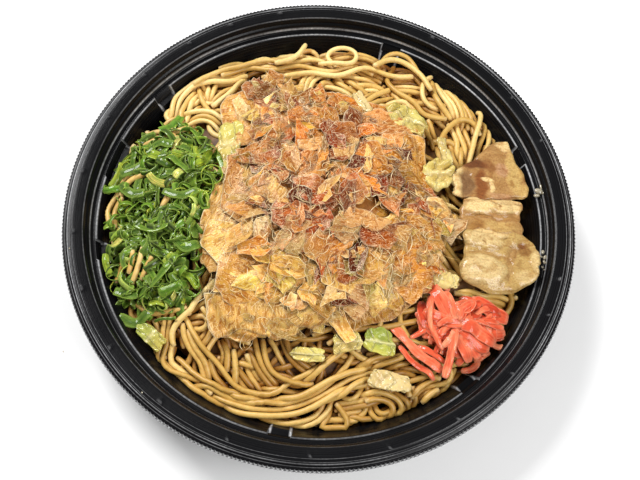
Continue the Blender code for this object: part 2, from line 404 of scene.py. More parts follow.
def lug_depth(azimuth, below):
    """How far the wall steps out, 0 to 1, at an azimuth and a depth below the ledge: an arch-topped recess."""
    depth = np.zeros_like(azimuth)
    for centre in (*LUG_AZIMUTHS, WIDE_LUG_AZIMUTH):
        half = WIDE_LUG_HALF_WIDTH if centre == WIDE_LUG_AZIMUTH else LUG_HALF_WIDTH
        away = np.abs((azimuth - centre + 180) % 360 - 180)
        depth = np.maximum(depth, np.clip((half - away) / 0.45 + 0.5, 0, 1))
    return depth * below


def tray_profile():
    """(radius, height over the rim's lower edge line) in mm from the floor's middle over the rim and back below."""
    inside = [
        (0.5, -34.0), (26, -34.0), (51.0, -34.0), (52.0, -34.05), (52.8, -34.5), (53.6, -35.1), (54.4, -35.2),
        (63.0, -35.2), (71.6, -35.2), (72.6, -35.0), (73.6, -34.7), (74.4, -34.0),
    ]
    wall_low, wall_high = -32.6, -9.2
    for step in range(13):
        height = wall_low + (wall_high - wall_low) * step / 12
        inside.append((91.7 - (-4.7 - height) * WALL_SLOPE, height))
    ledge = [
        (89.3, -8.9), (89.4, -8.5), (90.6, -6.4), (91.2, -5.4), (91.45, -4.95), (91.9, -4.7), (92.4, -4.78), (93.6, -4.75),
        (94.0, -4.55), (94.25, -4.2), (94.35, -3.6), (94.6, -2.6), (94.75, -2.0), (95.2, -1.5), (95.75, -1.1),
        (95.8, -0.7), (95.5, -0.35), (95.4, -0.05), (95.55, 0.4), (96.0, 1.4), (96.15, 1.8), (96.5, 2.05),
        (97.0, 2.15), (98.8, 2.4), (99.9, 2.58), (100.3, 2.6), (100.55, 2.45), (100.65, 2.2), (100.85, 2.1),
        (101.3, 2.12), (101.55, 2.1), (101.75, 1.9), (101.85, 1.65), (102.05, 1.6), (102.4, 1.62), (102.62, 1.5),
        (102.75, 1.2), (102.95, 1.1), (103.2, 1.1), (103.4, 0.95), (103.55, 0.65), (103.8, 0.6), (104.05, 0.6),
        (104.35, 0.4), (104.7, -0.1), (104.85, -1.1), (104.9, -1.9), (104.85, -2.2),
    ]
    under = [
        (104.3, -2.2), (104.1, -1.6), (103.6, -0.4), (102.8, 0.3), (101.0, 1.1), (100.0, 1.4), (98.0, 1.1),
        (97.2, 0.9), (96.6, -0.9), (95.6, -4.2), (95.1, -5.1), (92.7, -5.45), (92.4, -5.6), (90.4, -9.6),
        (90.1, -9.9), (83.0, -21.9), (76.2, -32.6), (75.3, -34.4), (74.6, -35.3), (73.4, -35.85), (72.7, -36.0),
        (63.0, -36.0), (53.2, -36.0), (52.4, -35.6), (51.4, -34.8), (26.0, -34.8), (0.5, -34.8),
    ]
    return inside, ledge, under


def make_tray():
    inside, ledge, under = tray_profile()
    profile = np.array(inside + ledge + under)
    columns = 2 * KNURLS
    azimuth = np.arange(columns) * 360.0 / columns
    radius = np.repeat(profile[None, :, 0], columns, 0)
    height = np.repeat(profile[None, :, 1], columns, 0)
    tooth = np.where(np.arange(columns) % 2 == 0, 1.0, -1.0)[:, None]
    first_ledge = len(inside)
    last_ledge = first_ledge + len(ledge)
    for row in range(first_ledge, last_ledge):
        if profile[row, 0] > 104.3 and profile[row, 1] > -2.1:
            radius[:, row] += 0.22 * tooth[:, 0]
            height[:, row] += 0.12 * tooth[:, 0]
    # Painted highlights: light grey lines painted along the rim's edges, on every other knurl tooth, on the lugs' sides
    # and on the nibs.
    glint = np.zeros((columns, len(profile)))
    turn = np.radians(azimuth)
    # Strength of the painted highlights round the ring: brightest at the far side and the sides, faint at the near
    # side, with ripples.
    side_light = 0.6 + 0.45 * np.abs(np.cos(turn - 0.4)) + 0.3 * np.sin(9 * turn) * np.sin(23 * turn + 1)
    side_light = side_light * (0.7 + 0.3 * np.sin(turn))
    for edge_radius, edge_height, level in RIM_GLINTS:
        away = np.hypot(profile[first_ledge:last_ledge, 0] - edge_radius, profile[first_ledge:last_ledge, 1] - edge_height)
        glint[:, first_ledge + int(np.argmin(away))] = level * side_light
    # Painted highlights on every other knurl tooth.
    for row in range(last_ledge - 4, last_ledge):
        glint[:, row] = np.where(tooth[:, 0] > 0, 1.0, 0.0)
    lugged = lug_depth(azimuth, 1.0)
    # Painted highlights on the lugs' sides, in place of the edge highlights over the lugs.
    lug_side = ((lugged > 0.02) & (lugged < 0.98)).astype(float)
    for row in range(first_ledge - 4, first_ledge + 6):
        glint[:, row] = np.maximum(glint[:, row] * (1 - lugged), 0.8 * lug_side)
    for row in range(12, first_ledge + 6):
        above_shelf = row >= first_ledge + 1
        if above_shelf:
            radius[:, row] += lugged * (93.9 - profile[row, 0])
            height[:, row] -= lugged * (0.25 if row > first_ledge + 3 else 0.0)
        else:
            flute = np.clip((profile[row, 1] + 26.0) / 16.0, 0, 1)
            narrow = np.clip(lugged * 1.6 - 0.6, 0, 1)
            radius[:, row] -= 0.9 * narrow * flute
    nib_row = int(np.argmin(np.abs(profile[:, 0] - 99.9) + (profile[:, 1] < 2)))
    # Each nib stands up 0.35 mm and gets a faint painted highlight.
    for centre in NIB_AZIMUTHS:
        away = np.abs((azimuth - centre + 180) % 360 - 180)
        height[:, nib_row] += 0.35 * (away < 0.3)
        glint[:, nib_row] += 0.15 * (away < 0.3)
    angle = np.radians(azimuth)[:, None]
    vertices = np.stack([radius * np.cos(angle), radius * np.sin(angle), height], -1) * MM
    vertices[..., 2] += RIM_EDGE_Z
    rows = len(profile)
    column = np.arange(columns)[:, None]
    row = np.arange(rows - 1)[None]
    here = column * rows + row
    there = (column + 1) % columns * rows + row
    quads = np.stack([here, here + 1, there + 1, there], -1).reshape(-1, 4)
    middle = rows * columns
    vertices = np.vstack([vertices.reshape(-1, 3), [[0, 0, vertices[0, 0, 2]], [0, 0, vertices[0, -1, 2]]]])
    along = np.concatenate([[0], np.cumsum(np.linalg.norm(np.diff(profile, axis=0), axis=1))])
    reach = np.concatenate([np.tile(along, columns), (0, 0)])
    glint = np.concatenate([glint.ravel(), (0, 0)])
    column = np.arange(columns)
    there = (column + 1) % columns
    caps = np.vstack([
        np.stack([np.full(columns, middle), column * rows, there * rows], 1),
        np.stack([np.full(columns, middle + 1), there * rows + rows - 1, column * rows + rows - 1], 1),
    ])
    tray = make_mesh("tray_shell", vertices, [quads, caps], tray_material(), {"glint": glint, "reach": reach})
    tray.data.set_sharp_from_angle(angle=math.radians(38))
    place_piece(tray, "tray_plastic", "tray")


def tray_material():
    material, nodes, links, shader = new_material("black_plastic", 0.26)
    fine = add_noise(nodes, links, 900.0, 4.0)
    broad = add_noise(nodes, links, 60.0, 3.0)
    streak = nodes.new("ShaderNodeTexNoise")
    streak.noise_dimensions = "1D"
    streak.inputs["Scale"].default_value = 2.6
    streak.inputs["Detail"].default_value = 3.0
    links.new(add_attribute(nodes, "reach").outputs["Fac"], streak.inputs["W"])
    colour = add_ramp(nodes, links, streak.outputs["Fac"], ((0.35, (0.0015, 0.0015, 0.002)), (0.75, (0.010, 0.010, 0.011))))
    # Painted highlights: light grey mixed into the black along the painted highlight lines, broken up by fine noise.
    glint = add_attribute(nodes, "glint").outputs["Fac"]
    sparkle = add_maths(nodes, links, "MULTIPLY", glint, add_maths(nodes, links, "MULTIPLY", fine, 1.5))
    colour = add_mix(nodes, links, sparkle, colour, (0.68, 0.68, 0.69))
    links.new(colour, shader.inputs["Base Color"])
    rough = add_maths(nodes, links, "MULTIPLY_ADD", broad, 0.16)
    rough.node.inputs[2].default_value = 0.17
    links.new(rough, shader.inputs["Roughness"])
    shader.inputs["Specular IOR Level"].default_value = 0.13
    height = add_maths(nodes, links, "ADD", fine, streak.outputs["Fac"])
    add_bump(nodes, links, shader, height, 0.15, 0.0002)
    return material


# ---------------------------------------------------------------- noodles

NOODLE_RADIUS = 1.15 * MM
# Strands chosen one by one, seen from above: (height against the top of the mound, strands side by side, places), in mm
STRANDS = (
    # far left, round the wall and down beside the scallions
    (-1, 1, ((-69, 42), (-68.3, 55), (-66, 59.3), (-61.7, 63.5), (-57.4, 66.7), (-53.7, 68), (-46.7, 68.4), (-41, 69.4), (-38, 71.5))),
    (-1, 1, ((-66, 42), (-65.4, 53.4), (-62.7, 58.2), (-59, 62.5), (-52.5, 65), (-46.7, 65.6), (-41, 67.2), (-37, 70.2))),
    (-1, 2, ((-62, 40), (-62.3, 48), (-60, 54.5), (-57.8, 59), (-58.5, 63))),
    (0, 1, ((-58.4, 63), (-55.8, 54.5), (-52, 49.7), (-48.5, 47))),
    (-2, 1, ((-54, 65), (-54, 57.7), (-52.5, 51))),
    (-2, 1, ((-50.6, 65), (-52, 58.7), (-51.5, 52))),
    (-1, 2, ((-52, 49), (-48.3, 56.6), (-44.6, 60.5), (-40, 63))),
    (0, 1, ((-37.5, 69.6), (-40.9, 63), (-45, 55.5), (-50, 50))),
    (-3, 2, ((-63, 60), (-56, 69), (-49.4, 73.6), (-45, 74.6), (-40.3, 73.4), (-37, 71))),
    (-1, 1, ((-50, 74.2), (-44, 77.4), (-40.3, 77.9), (-36.6, 76.3), (-33, 74.7), (-29.7, 75.8), (-26, 75.8), (-23.5, 74.3), (-19, 73.7),
             (-15.8, 74.2), (-12, 76.9), (-6.7, 78.5), (0, 79), (7, 78.6))),
    (-3, 2, ((-53, 70.6), (-47, 70.6), (-43, 71.8), (-38, 71))),
    (-4, 1, ((-42, 79.5), (-35.5, 79.8), (-32.3, 82.2), (-28.6, 83), (-25.4, 80.6), (-20, 79))),
    (-2, 1, ((-36, 80), (-30, 80.2), (-25, 78.5), (-21.7, 76.9), (-16.3, 76.5), (-12, 79), (-7, 81), (0, 80.5), (8, 82))),
    (-4, 1, ((-30, 84), (-26, 84.3), (-21.7, 81.9), (-16.3, 80.4), (-11, 80.6), (-5, 82.4))),
    (-3, 1, ((-27, 85), (-24.3, 85.9), (-19, 83.9), (-13.7, 83.4), (-8.3, 81.3), (-4, 79), (2, 77.6))),
    (-4, 1, ((-20, 86.2), (-16.3, 86.6), (-12, 84.3), (-7.8, 83.8), (-3.5, 81.6), (0.7, 80.9), (8, 80))),
    (-5, 1, ((-18, 87.6), (-14.7, 87.8), (-9.4, 86), (-3, 84.5), (2.3, 84.3), (8, 86))),
    (0, 1, ((-7.6, 57), (-8, 62), (-6.6, 69), (-2.5, 72.6), (1.8, 72.2), (5.5, 69), (7.5, 64))),
    (-2, 1, ((-5, 58), (-4.4, 64.5), (-3, 68.3), (0, 70), (3, 67.6))),
    (-1, 1, ((-10.5, 60), (-9, 68), (-5, 73.8), (0, 75.8), (6, 74.6), (12, 71.2), (17, 66))),
    (-2, 1, ((-13.5, 61), (-12, 68), (-9, 73), (-4, 76.8))),
    (-2, 1, ((-30, 70), (-25, 72), (-19, 71.2), (-13, 71.5), (-8, 74.4))),
    (-3, 1, ((-28, 67), (-22, 69), (-15, 68.5), (-9, 70))),
    (-4, 1, ((-34, 74), (-27, 73), (-20, 69.5), (-14, 66))),
    # far side
    (-5, 1, ((-9, 89), (-2, 89.2), (3.2, 89.6), (7, 90), (10.8, 89), (15.7, 88.5), (20, 87.8), (24.5, 86.2), (27.7, 83), (29.9, 80.3))),
    (-3, 1, ((-5, 84.2), (0.5, 83.6), (4.3, 85), (9.2, 87), (13.6, 87), (17.9, 86.4), (22.3, 84.4), (26, 80))),
    (-2, 1, ((-6, 81.6), (0.5, 81.6), (5.9, 82.6), (11.4, 84), (15.7, 84.4), (20.6, 82.6), (23.6, 80.4), (25, 76))),
    (-1, 1, ((-6, 78), (0.5, 79.5), (5.9, 79.3), (10.3, 77.5), (14.6, 74.8), (19, 73.2), (23.9, 71))),
    (-1, 1, ((2, 80.6), (8.6, 80.4), (13, 79.2), (17.9, 75.9), (22.3, 73.7), (25.4, 72.4))),
    (-2, 1, ((4, 83), (8.6, 82.2), (13.6, 82), (18.5, 81.6), (22.3, 79.7), (25.6, 77.4))),
    (-1, 1, ((-8, 73.6), (-4.5, 75), (0.5, 77.2), (5.9, 77), (11.4, 74.3), (15.7, 71.6), (20, 69))),
    (-2, 1, ((3, 74.6), (8.6, 73.4), (13.6, 71.6), (18, 71.2), (23.4, 69.8))),
    (1, 1, ((30.2, 82), (27.9, 78), (26.5, 74.3), (26.7, 70.5), (28.3, 67.2), (32.1, 63.9), (36.5, 60.6), (39.8, 57.2), (41.6, 53.6),
            (45.2, 51.9), (49.6, 51.8), (53, 52))),
    (0, 1, ((31, 64.2), (35.4, 60), (38.1, 55.8), (41.2, 49.6), (43.6, 45.9), (45.6, 40.5))),
    (0, 1, ((27, 67), (30.4, 62.6), (34, 58.6), (37.4, 52), (40.6, 46.5), (42.6, 41))),
    (-2, 2, ((28, 79.6), (34, 80.6), (38, 79), (42, 76.6), (46, 73.6))),
    (-2, 1, ((27.6, 75.8), (31, 75), (35.4, 75.4), (40.8, 74.2), (45, 71))),
    (-2, 1, ((27, 72.4), (32, 72.2), (38, 72.8), (44, 71.8))),
    (-2, 1, ((28.5, 69.6), (33, 69.6), (38, 69), (44, 68.6))),
    (-2, 1, ((29.5, 67.2), (33, 67), (38, 66.4), (43, 65))),
    (-4, 1, ((31, 65), (36, 64), (41, 62.6), (45, 63))),
    (-3, 1, ((30, 78), (36, 77.4), (41, 73), (44, 66))),
    (-1, 1, ((2, 72.2), (5.9, 68.8), (9.2, 65), (13, 62.8), (16.5, 62))),
    (-2, 1, ((7, 71.4), (11, 68), (14.1, 66), (17.4, 63.4), (20, 60))),
    (-2, 1, ((25.8, 69.4), (22.3, 65.6), (18.5, 62.8), (14.6, 60.3), (10, 59.4))),
    (-1, 1, ((28.4, 66), (23.9, 62.6), (20.1, 60.2), (16.8, 57.4), (13.6, 53))),
    (-1, 1, ((31, 64), (25.6, 61), (22, 58), (18.5, 55), (15, 51))),
    (-1, 1, ((21.6, 52.4), (24.5, 55.9), (27.7, 58), (32.1, 58.8), (35.4, 57), (37.6, 53))),
    (-3, 2, ((10, 66), (16, 67.4), (22, 66), (28, 62))),
    (-3, 1, ((5, 60.6), (9.7, 61.4), (14, 58), (17, 52))),
    (-3, 2, ((20, 56), (26, 54), (34, 55), (40, 52))),
    # far right: the big loop and the bundle that falls towards the pork
    (1, 1, ((47, 77), (45.4, 75.6), (43.5, 72.6), (42.5, 68.8), (42.2, 64.4), (43.2, 60.6), (46, 58), (50.5, 57.6))),
    (0, 1, ((46.6, 77.4), (47.4, 71.5), (47.9, 65.5), (50.1, 60), (52.8, 55.7), (55.6, 52))),
    (1, 1, ((48, 76.4), (49.8, 69.9), (51.8, 64.4), (54.5, 60), (56.2, 56.6), (57.4, 52.6))),
    (0, 1, ((50.1, 75.2), (52.6, 69.9), (55, 64.8), (57.6, 60), (58.9, 54.4), (59, 49))),
    (1, 1, ((51.6, 73.4), (55, 67.7), (57.9, 62.8), (60, 56.8), (60.6, 52), (60, 47))),
    (0, 1, ((54.6, 71.2), (58.6, 65.2), (61, 59), (62.3, 54), (62.6, 48))),
    (-1, 1, ((57, 69.8), (61, 63.6), (63.4, 57.9), (64.4, 52.6), (64.6, 46))),
    (-2, 1, ((60, 66.6), (64, 60), (66, 54.6), (67, 48))),
    (-3, 2, ((44, 63), (48, 61), (51, 55.6), (52, 50))),
    (-4, 2, ((41, 60), (45, 56), (49, 54), (54, 50))),
    (2, 1, ((49.6, 38.6), (51.8, 44.4), (55.6, 49.5), (58.8, 51.6), (62.4, 51.8), (65.6, 49.4), (67, 45))),
    (2, 1, ((69.2, 60), (68.4, 54), (66.2, 47), (64.4, 41.5), (62.8, 34), (62, 29))),
    (0, 1, ((53.6, 50), (54.6, 46), (56.1, 41.6), (57.8, 36.4), (58.6, 31))),
    (0, 1, ((57, 50.4), (57.8, 47.6), (59.6, 42.2), (61.2, 36), (61, 30))),
    (0, 1, ((60.4, 51), (61.4, 48), (62.7, 43), (64.4, 37))),
    (-1, 1, ((69.6, 58.6), (70.4, 51.4), (68.8, 44.8), (67.2, 37.7), (66, 31))),
    (-2, 1, ((71.6, 56), (72.6, 51), (72.4, 45), (70.6, 38.6), (68.6, 32))),
    (-3, 1, ((74.4, 52.6), (75, 46.6), (73.2, 41), (71, 36))),
    (0, 2, ((43.4, 50), (45.4, 44.4), (47.6, 40.4), (50, 37))),
    (0, 1, ((45, 40.4), (50, 39.2), (54, 39.6), (57, 37.4), (58.4, 33))),
    (-1, 2, ((54, 44), (52.6, 40), (55, 34.6), (57.4, 30))),
    (-1, 2, ((56.4, 39), (56, 34), (57.6, 28), (60, 24))),
    # near left
    (2, 1, ((-75.6, -39), (-73.4, -41), (-70, -43.2), (-66, -46), (-63, -46.4), (-59, -45.6), (-54.6, -44.8), (-50, -44))),
    (1, 1, ((-57.4, -31), (-57.2, -36), (-56, -40), (-54.2, -43.4), (-51.8, -46.5), (-49.8, -48.6), (-47, -52.5), (-43.5, -56.5),
            (-40, -60), (-37, -62.2), (-34, -65.2), (-31.4, -68.8), (-28.6, -71.8), (-24.3, -73.8), (-19, -74.9), (-13.7, -74.8),
            (-11, -73.3), (-7.3, -70), (-3, -67.7), (1.3, -64.7), (5.5, -60.4), (9.5, -56.6))),
    (0, 1, ((-54.6, -33), (-53, -38), (-51, -42.4), (-49.6, -46))),
    (0, 1, ((-60, -38), (-58.6, -41.5), (-56.4, -45), (-54.4, -48))),
    (2, 1, ((-39, -33), (-43.5, -37.5), (-46.5, -40.5), (-49, -44.5), (-52.3, -48.5), (-54.6, -51.5), (-55.3, -54.5), (-54.4, -58))),
    (0, 2, ((-57, -43), (-58.2, -49), (-58.2, -55), (-59.5, -59.5), (-59.6, -63.5), (-57.6, -66.8), (-53.6, -69), (-49.6, -70.2), (-44.6, -72.2),
            (-40, -73.8), (-36, -76.6), (-30, -78.2), (-25, -79.6), (-20, -81))),
    (-1, 1, ((-54.8, -46), (-56.3, -51.5), (-55.9, -55.5), (-56.6, -60.5), (-55.8, -64.5), (-52, -66.8), (-46.6, -69.2))),
    (1, 1, ((-51.4, -49), (-50.4, -53.5), (-48, -57.4), (-45.6, -60.3), (-43.2, -63.7), (-41.6, -67.5), (-40.3, -72), (-38, -75))),
    (0, 1, ((-49.8, -51), (-47, -56), (-44, -60), (-40.6, -65), (-39.6, -70))),
    (1, 1, ((-53.2, -61.4), (-50, -63.5), (-47, -66.8), (-43.5, -69), (-40, -71), (-36, -72.6), (-31, -75), (-26, -76.4), (-20, -77.2))),
    (-1, 2, ((-68, -48), (-65, -52), (-62.5, -55), (-60.6, -59), (-59, -63))),
    (-1, 1, ((-63.4, -47), (-61.4, -51.5), (-60.4, -56))),
    (-1, 1, ((-72, -49), (-69, -55), (-65, -59), (-61, -62.4))),
    (-2, 1, ((-50.5, -46.4), (-46, -45.8), (-42.2, -46.6), (-41, -49.6), (-43.6, -52), (-47, -51))),
    (-1, 2, ((-42.6, -42), (-40.6, -47), (-40.6, -51.5), (-42, -55), (-44.6, -57.6))),
    (-2, 2, ((-37, -49), (-39.4, -53), (-41.6, -56), (-42.4, -60))),
    (1, 1, ((-30.5, -58.2), (-29.6, -62), (-29, -66.6), (-29.6, -71))),
    (0, 2, ((-24.6, -53), (-22.7, -59), (-20, -64.4), (-17.2, -67.9), (-12.6, -71.8))),
    (-1, 1, ((-29.6, -60), (-27.6, -57.3), (-25, -56.6), (-22.8, -58.6), (-23, -62))),
    (-2, 1, ((-29, -63.4), (-25, -63.6), (-20.5, -64.6))),
    (-3, 1, ((-28, -68.4), (-24, -66.3), (-19.5, -66))),
    (-3, 2, ((-36, -60), (-31, -64), (-26, -70), (-22, -73))),
    (-3, 2, ((-26, -60), (-22, -68), (-16, -72))),
    (-2, 2, ((-36, -54), (-33, -60), (-34, -66))),
    # near side: the long bundle that sweeps along the wall and up to the right
    (0, 1, ((-46, -72.6), (-40.4, -71.6), (-35, -74.6), (-29.7, -76.4), (-24.3, -77), (-17.9, -77), (-11.5, -77), (-5.1, -75.8), (1.3, -73.2),
            (6.6, -69.5), (10.9, -65.8), (14, -62), (16.4, -57.4))),
    (0, 3, ((-38, -75.4), (-30, -77.8), (-24.3, -79.4), (-13.7, -79.6), (-5.1, -78.4), (2.3, -75.2), (8.7, -71.4), (15.1, -67.6),
            (21.5, -65.2), (27, -63.4))),
    (-1, 1, ((-27, -80.6), (-16.9, -82), (-7.3, -81.5), (-0.9, -79.3), (4.5, -76.8), (10.3, -73.6), (18.3, -68.8), (24, -66))),
    (-2, 2, ((-23.4, -82.4), (-20, -82.8), (-14.7, -84.6), (-8.3, -85.6), (-1.9, -84.6), (3.4, -82.4), (6.4, -79.1), (7.7, -75.4), (8, -71))),
    (0, 1, ((9.4, -75), (8.6, -79), (6.9, -82.4), (6.2, -85), (7.9, -87.2), (11.4, -87.8), (14.6, -85.9), (15.7, -82.6), (13.6, -79.3), (10.6, -76.4))),
    (-1, 1, ((11.4, -68.4), (12.2, -72.4), (14, -74.6), (16.6, -74.9), (19, -73.2), (20.6, -70), (21.4, -66.4))),
    (-2, 2, ((10, -77), (14, -76.6), (19, -75.4), (23.7, -73.2), (28, -72.6))),
    (-3, 1, ((12, -80), (17, -79.4), (21.5, -77), (26, -76))),
    (-3, 2, ((12, -83), (17, -82), (22, -81.6), (28, -80.6))),
    (-3, 1, ((21.4, -84), (22, -80), (21, -76))),
    (1, 1, ((-19.5, -54), (-17.6, -61.6), (-14.8, -66.9), (-10.5, -69.2), (-6.7, -70.1), (-3, -70.2), (1.5, -70))),
    (0, 1, ((-17, -53.4), (-13.7, -57.8), (-11.5, -61.4), (-8.6, -65.4), (-4, -68))),
    (0, 1, ((-13, -53.6), (-9.4, -58.9), (-6.2, -62.6), (-2.6, -65.6), (2, -67))),
    (0, 1, ((-10.6, -53.6), (-7.3, -59.4), (-4, -62.8), (0.4, -65.4))),
    (-2, 1, ((-17, -63.8), (-11, -63.8), (-5, -62.2), (2, -60.4), (8, -60))),
    (-2, 1, ((-17.4, -65.6), (-10.5, -66.2), (-5, -68.4), (2, -69.4))),
    (-3, 2, ((-20, -71), (-12, -70.4), (-4, -72), (4, -68))),
    (0, 1, ((-2, -69.8), (2, -66.6), (6.4, -62.4), (10.6, -58.4), (14, -55))),
    (-3, 2, ((0, -57), (7, -57.6), (14, -60), (20, -58))),
    (-3, 2, ((6, -72), (12, -70), (20, -70), (28, -69))),
    (1, 1, ((20, -72.8), (22.4, -71.4), (25.3, -70.6), (30, -71), (34.7, -72.7), (36.9, -75.9), (35.4, -79.6), (31.1, -83.2))),
    (0, 1, ((22, -74.6), (26, -73.2), (30, -73.6), (33.4, -75.4), (33, -79), (29.4, -81.8))),
    (-1, 1, ((22.6, -73.6), (23.5, -77.8), (26.7, -80.7), (30.6, -80.8), (34, -78))),
    (-2, 1, ((25, -74), (26.7, -78), (30, -79.2), (33, -76.4))),
    (-1, 1, ((33, -70), (38.4, -71.6), (39.8, -74.9), (38, -79))),
    (-2, 1, ((40.8, -67), (41.9, -71), (41.6, -75), (39.6, -79))),
    (0, 1, ((15.6, -64.9), (19.9, -61.6), (24.4, -59), (29.6, -58.2), (34, -56))),
    (0, 1, ((20.6, -63.9), (26.3, -60.6), (31.7, -59.6), (37, -57.4), (41, -54))),
    (-1, 1, ((28, -64), (32.2, -60.9), (36.5, -59.2), (41, -57))),
    (-3, 2, ((24, -66), (32, -63.4), (39, -62), (46, -64))),
    # near right, beside and under the ginger
    (1, 1, ((39.4, -56), (41.2, -59.6), (44, -62.2), (48, -63.8), (51, -64))),
    (0, 2, ((51, -65), (47.6, -66), (43.6, -68.6), (41.8, -72.4))),
    (0, 1, ((50.6, -67.6), (46.6, -70), (44.6, -73.4))),
    (-1, 2, ((66, -58), (61.9, -61.9), (57.8, -66.4), (55.2, -69.6), (52.8, -72.8), (49.6, -73.4), (47.6, -71))),
    (-2, 1, ((58, -59), (55.4, -63.4), (53, -68), (50, -70))),
    (-2, 2, ((56, -58), (61, -58.4), (66, -56), (70, -52))),
    (-2, 1, ((78, -30), (82.4, -31), (83.4, -33.6), (82, -37.6), (80, -41.2), (76.2, -47), (73.6, -51.2), (71.2, -55), (67, -58), (63, -60))),
    (-2, 1, ((79.4, -33), (79.6, -38), (76.6, -43), (74, -48), (70.4, -53))),
    (0, 1, ((57, -29.6), (63.1, -28.9), (67.8, -30.2), (71.4, -29), (76.1, -28.8), (80.8, -30.4))),
    (-1, 2, ((56, -31.8), (62, -31.4), (69, -32.4), (77, -31), (82, -33))),
    (-1, 1, ((80.2, -28.4), (83.4, -29), (85.4, -27), (88.4, -25.6))),
    (-2, 1, ((82, -31.4), (85.4, -30.4), (86.6, -27.6), (84, -25))),
    # between the flakes and the pork
    (-1, 2, ((46, -8), (51.3, -14.5), (55, -19), (58.2, -23.6))),
    (-1, 2, ((50, -9), (54, -15), (58, -19), (61, -21))),
    (-1, 1, ((44, -14), (50, -20), (56, -24))),
    (-2, 2, ((47, -24), (53, -22), (58, -25))),
    (-2, 2, ((50, 0), (54, -3), (58, -10))),
    (-2, 2, ((49, 12), (53, 6), (58, 4))),
    # left, where the scallions leave the noodles bare
    (1, 1, ((-86, 16), (-83.6, 11.8), (-79, 12.6), (-76, 10.6), (-74, 8))),
    (1, 1, ((-84, 9.6), (-80.6, 9.4), (-76.4, 8.6), (-73, 11))),
    (0, 1, ((-88, -9), (-88.6, -4), (-86.6, 0.6), (-84.2, 2.8), (-81, 3))),
    (0, 1, ((-86, -11), (-86, -6), (-84.4, -3), (-84, 2))),
    (1, 1, ((-71.4, 37), (-68.6, 34.4), (-65.4, 31), (-63, 26.4), (-61.6, 21.6))),
    (1, 1, ((-69.4, 38), (-65, 33.6), (-60.4, 29.8), (-58.4, 26), (-55, 21.6))),
    (0, 2, ((-82, 36), (-78, 35), (-74.4, 36.4), (-70, 36.4))),
    (0, 2, ((-84.6, 31), (-80, 31.4), (-76, 30), (-71, 31.6))),
    (-1, 1, ((-89, 17), (-88, 22), (-85, 27.6), (-82, 31))),
    (0, 2, ((-62, 44.6), (-56, 47), (-50, 46), (-45, 42))),
    (0, 1, ((-60, 40.6), (-55.4, 43.6), (-50, 43), (-46, 38))),
    (1, 1, ((-77, -24), (-76.6, -28), (-77, -33))),
    (0, 1, ((-71, -26), (-70.6, -30), (-71.6, -34))),
    (0, 2, ((-74, -25.4), (-69, -25), (-65, -24))),
    # ends and loops that stand up at the far wall
    (9, 1, ((-24, 74), (-18, 78), (-14, 82), (-12, 88))),
    (7, 1, ((3, 76), (-1.6, 80.4), (0.4, 85.4), (6, 87.4), (11.6, 84.6), (11, 78.6), (4, 76), (-5, 76.6))),
    (6, 1, ((22, 80), (26, 86), (33, 87), (38, 82), (41, 76))),
    (6, 1, ((20, 76), (28, 81), (36, 79), (42, 73), (46, 66))),
    (2, 1, ((-60, 62), (-50, 70), (-40, 73), (-30, 79), (-20, 78), (-8, 80), (2, 77))),
    (2, 1, ((-48, 68), (-36, 74), (-26, 73), (-14, 76), (-2, 73), (10, 77), (20, 74))),
    (2, 1, ((-20, 70), (-8, 72), (4, 71), (16, 76), (28, 73), (38, 74))),
)


def noodle_depths(base, x, y):
    """Height of the noodles' surface at a plan place, also just past its edge."""
    radius = np.hypot(x, y)
    inward = np.minimum(1.0, 83.0 * MM / np.maximum(radius, MM))
    inner = base.at(x * inward, y * inward)
    far = np.clip(np.asarray(y) / (60 * MM), 0, 1) * np.clip((radius - 66 * MM) / (20 * MM), 0, 1)
    return inner + 4.2 * MM * far - np.maximum(radius - 83.0 * MM, 0.0) * 0.40


def lay_on_slope(plan):
    """Slides places near the wall towards the viewer, as the noodles climb there from the mound's plain slope."""
    radius = np.hypot(plan[:, 0], plan[:, 1])
    azimuth = np.arctan2(plan[:, 1], plan[:, 0])
    climb = np.minimum(radius / (88 * MM), 1.0) ** 2.4 * (2.0 - 1.5 * np.cos(2 * azimuth)) * MM
    slide = (plan + np.array((0.0, 0.158))) * (climb / 0.345)[:, None]
    return plan - slide


def chosen_strands(base, rng):
    strands = []
    for order, (lift, count, places) in enumerate(STRANDS):
        plan = lay_on_slope(smooth_curve(np.array(places) * MM, 1.8 * MM))
        along = np.gradient(plan, axis=0)
        normal = np.stack([-along[:, 1], along[:, 0]], 1)
        normal /= np.linalg.norm(normal, axis=1, keepdims=True)
        for k in range(count):
            aside = (k - (count - 1) / 2) * 2.4 * MM + drift(len(plan), 9, 0.35 * MM, rng)
            path = plan + normal * aside[:, None]
            z = noodle_depths(base, path[:, 0], path[:, 1]) - NOODLE_RADIUS + 0.5 * lift * MM
            z += drift(len(plan), 8, 0.5 * MM, rng) + 0.004 * MM * order
            share = np.linspace(0, 1, len(plan)) * (len(plan) - 1)
            ends = np.minimum(share, share[::-1])
            z -= (2.2 * MM if lift < 2 else 0.6 * MM) * np.clip(1 - ends / 3.5, 0, 1) ** 1.5
            strands.append(np.column_stack([path, z]))
    return strands


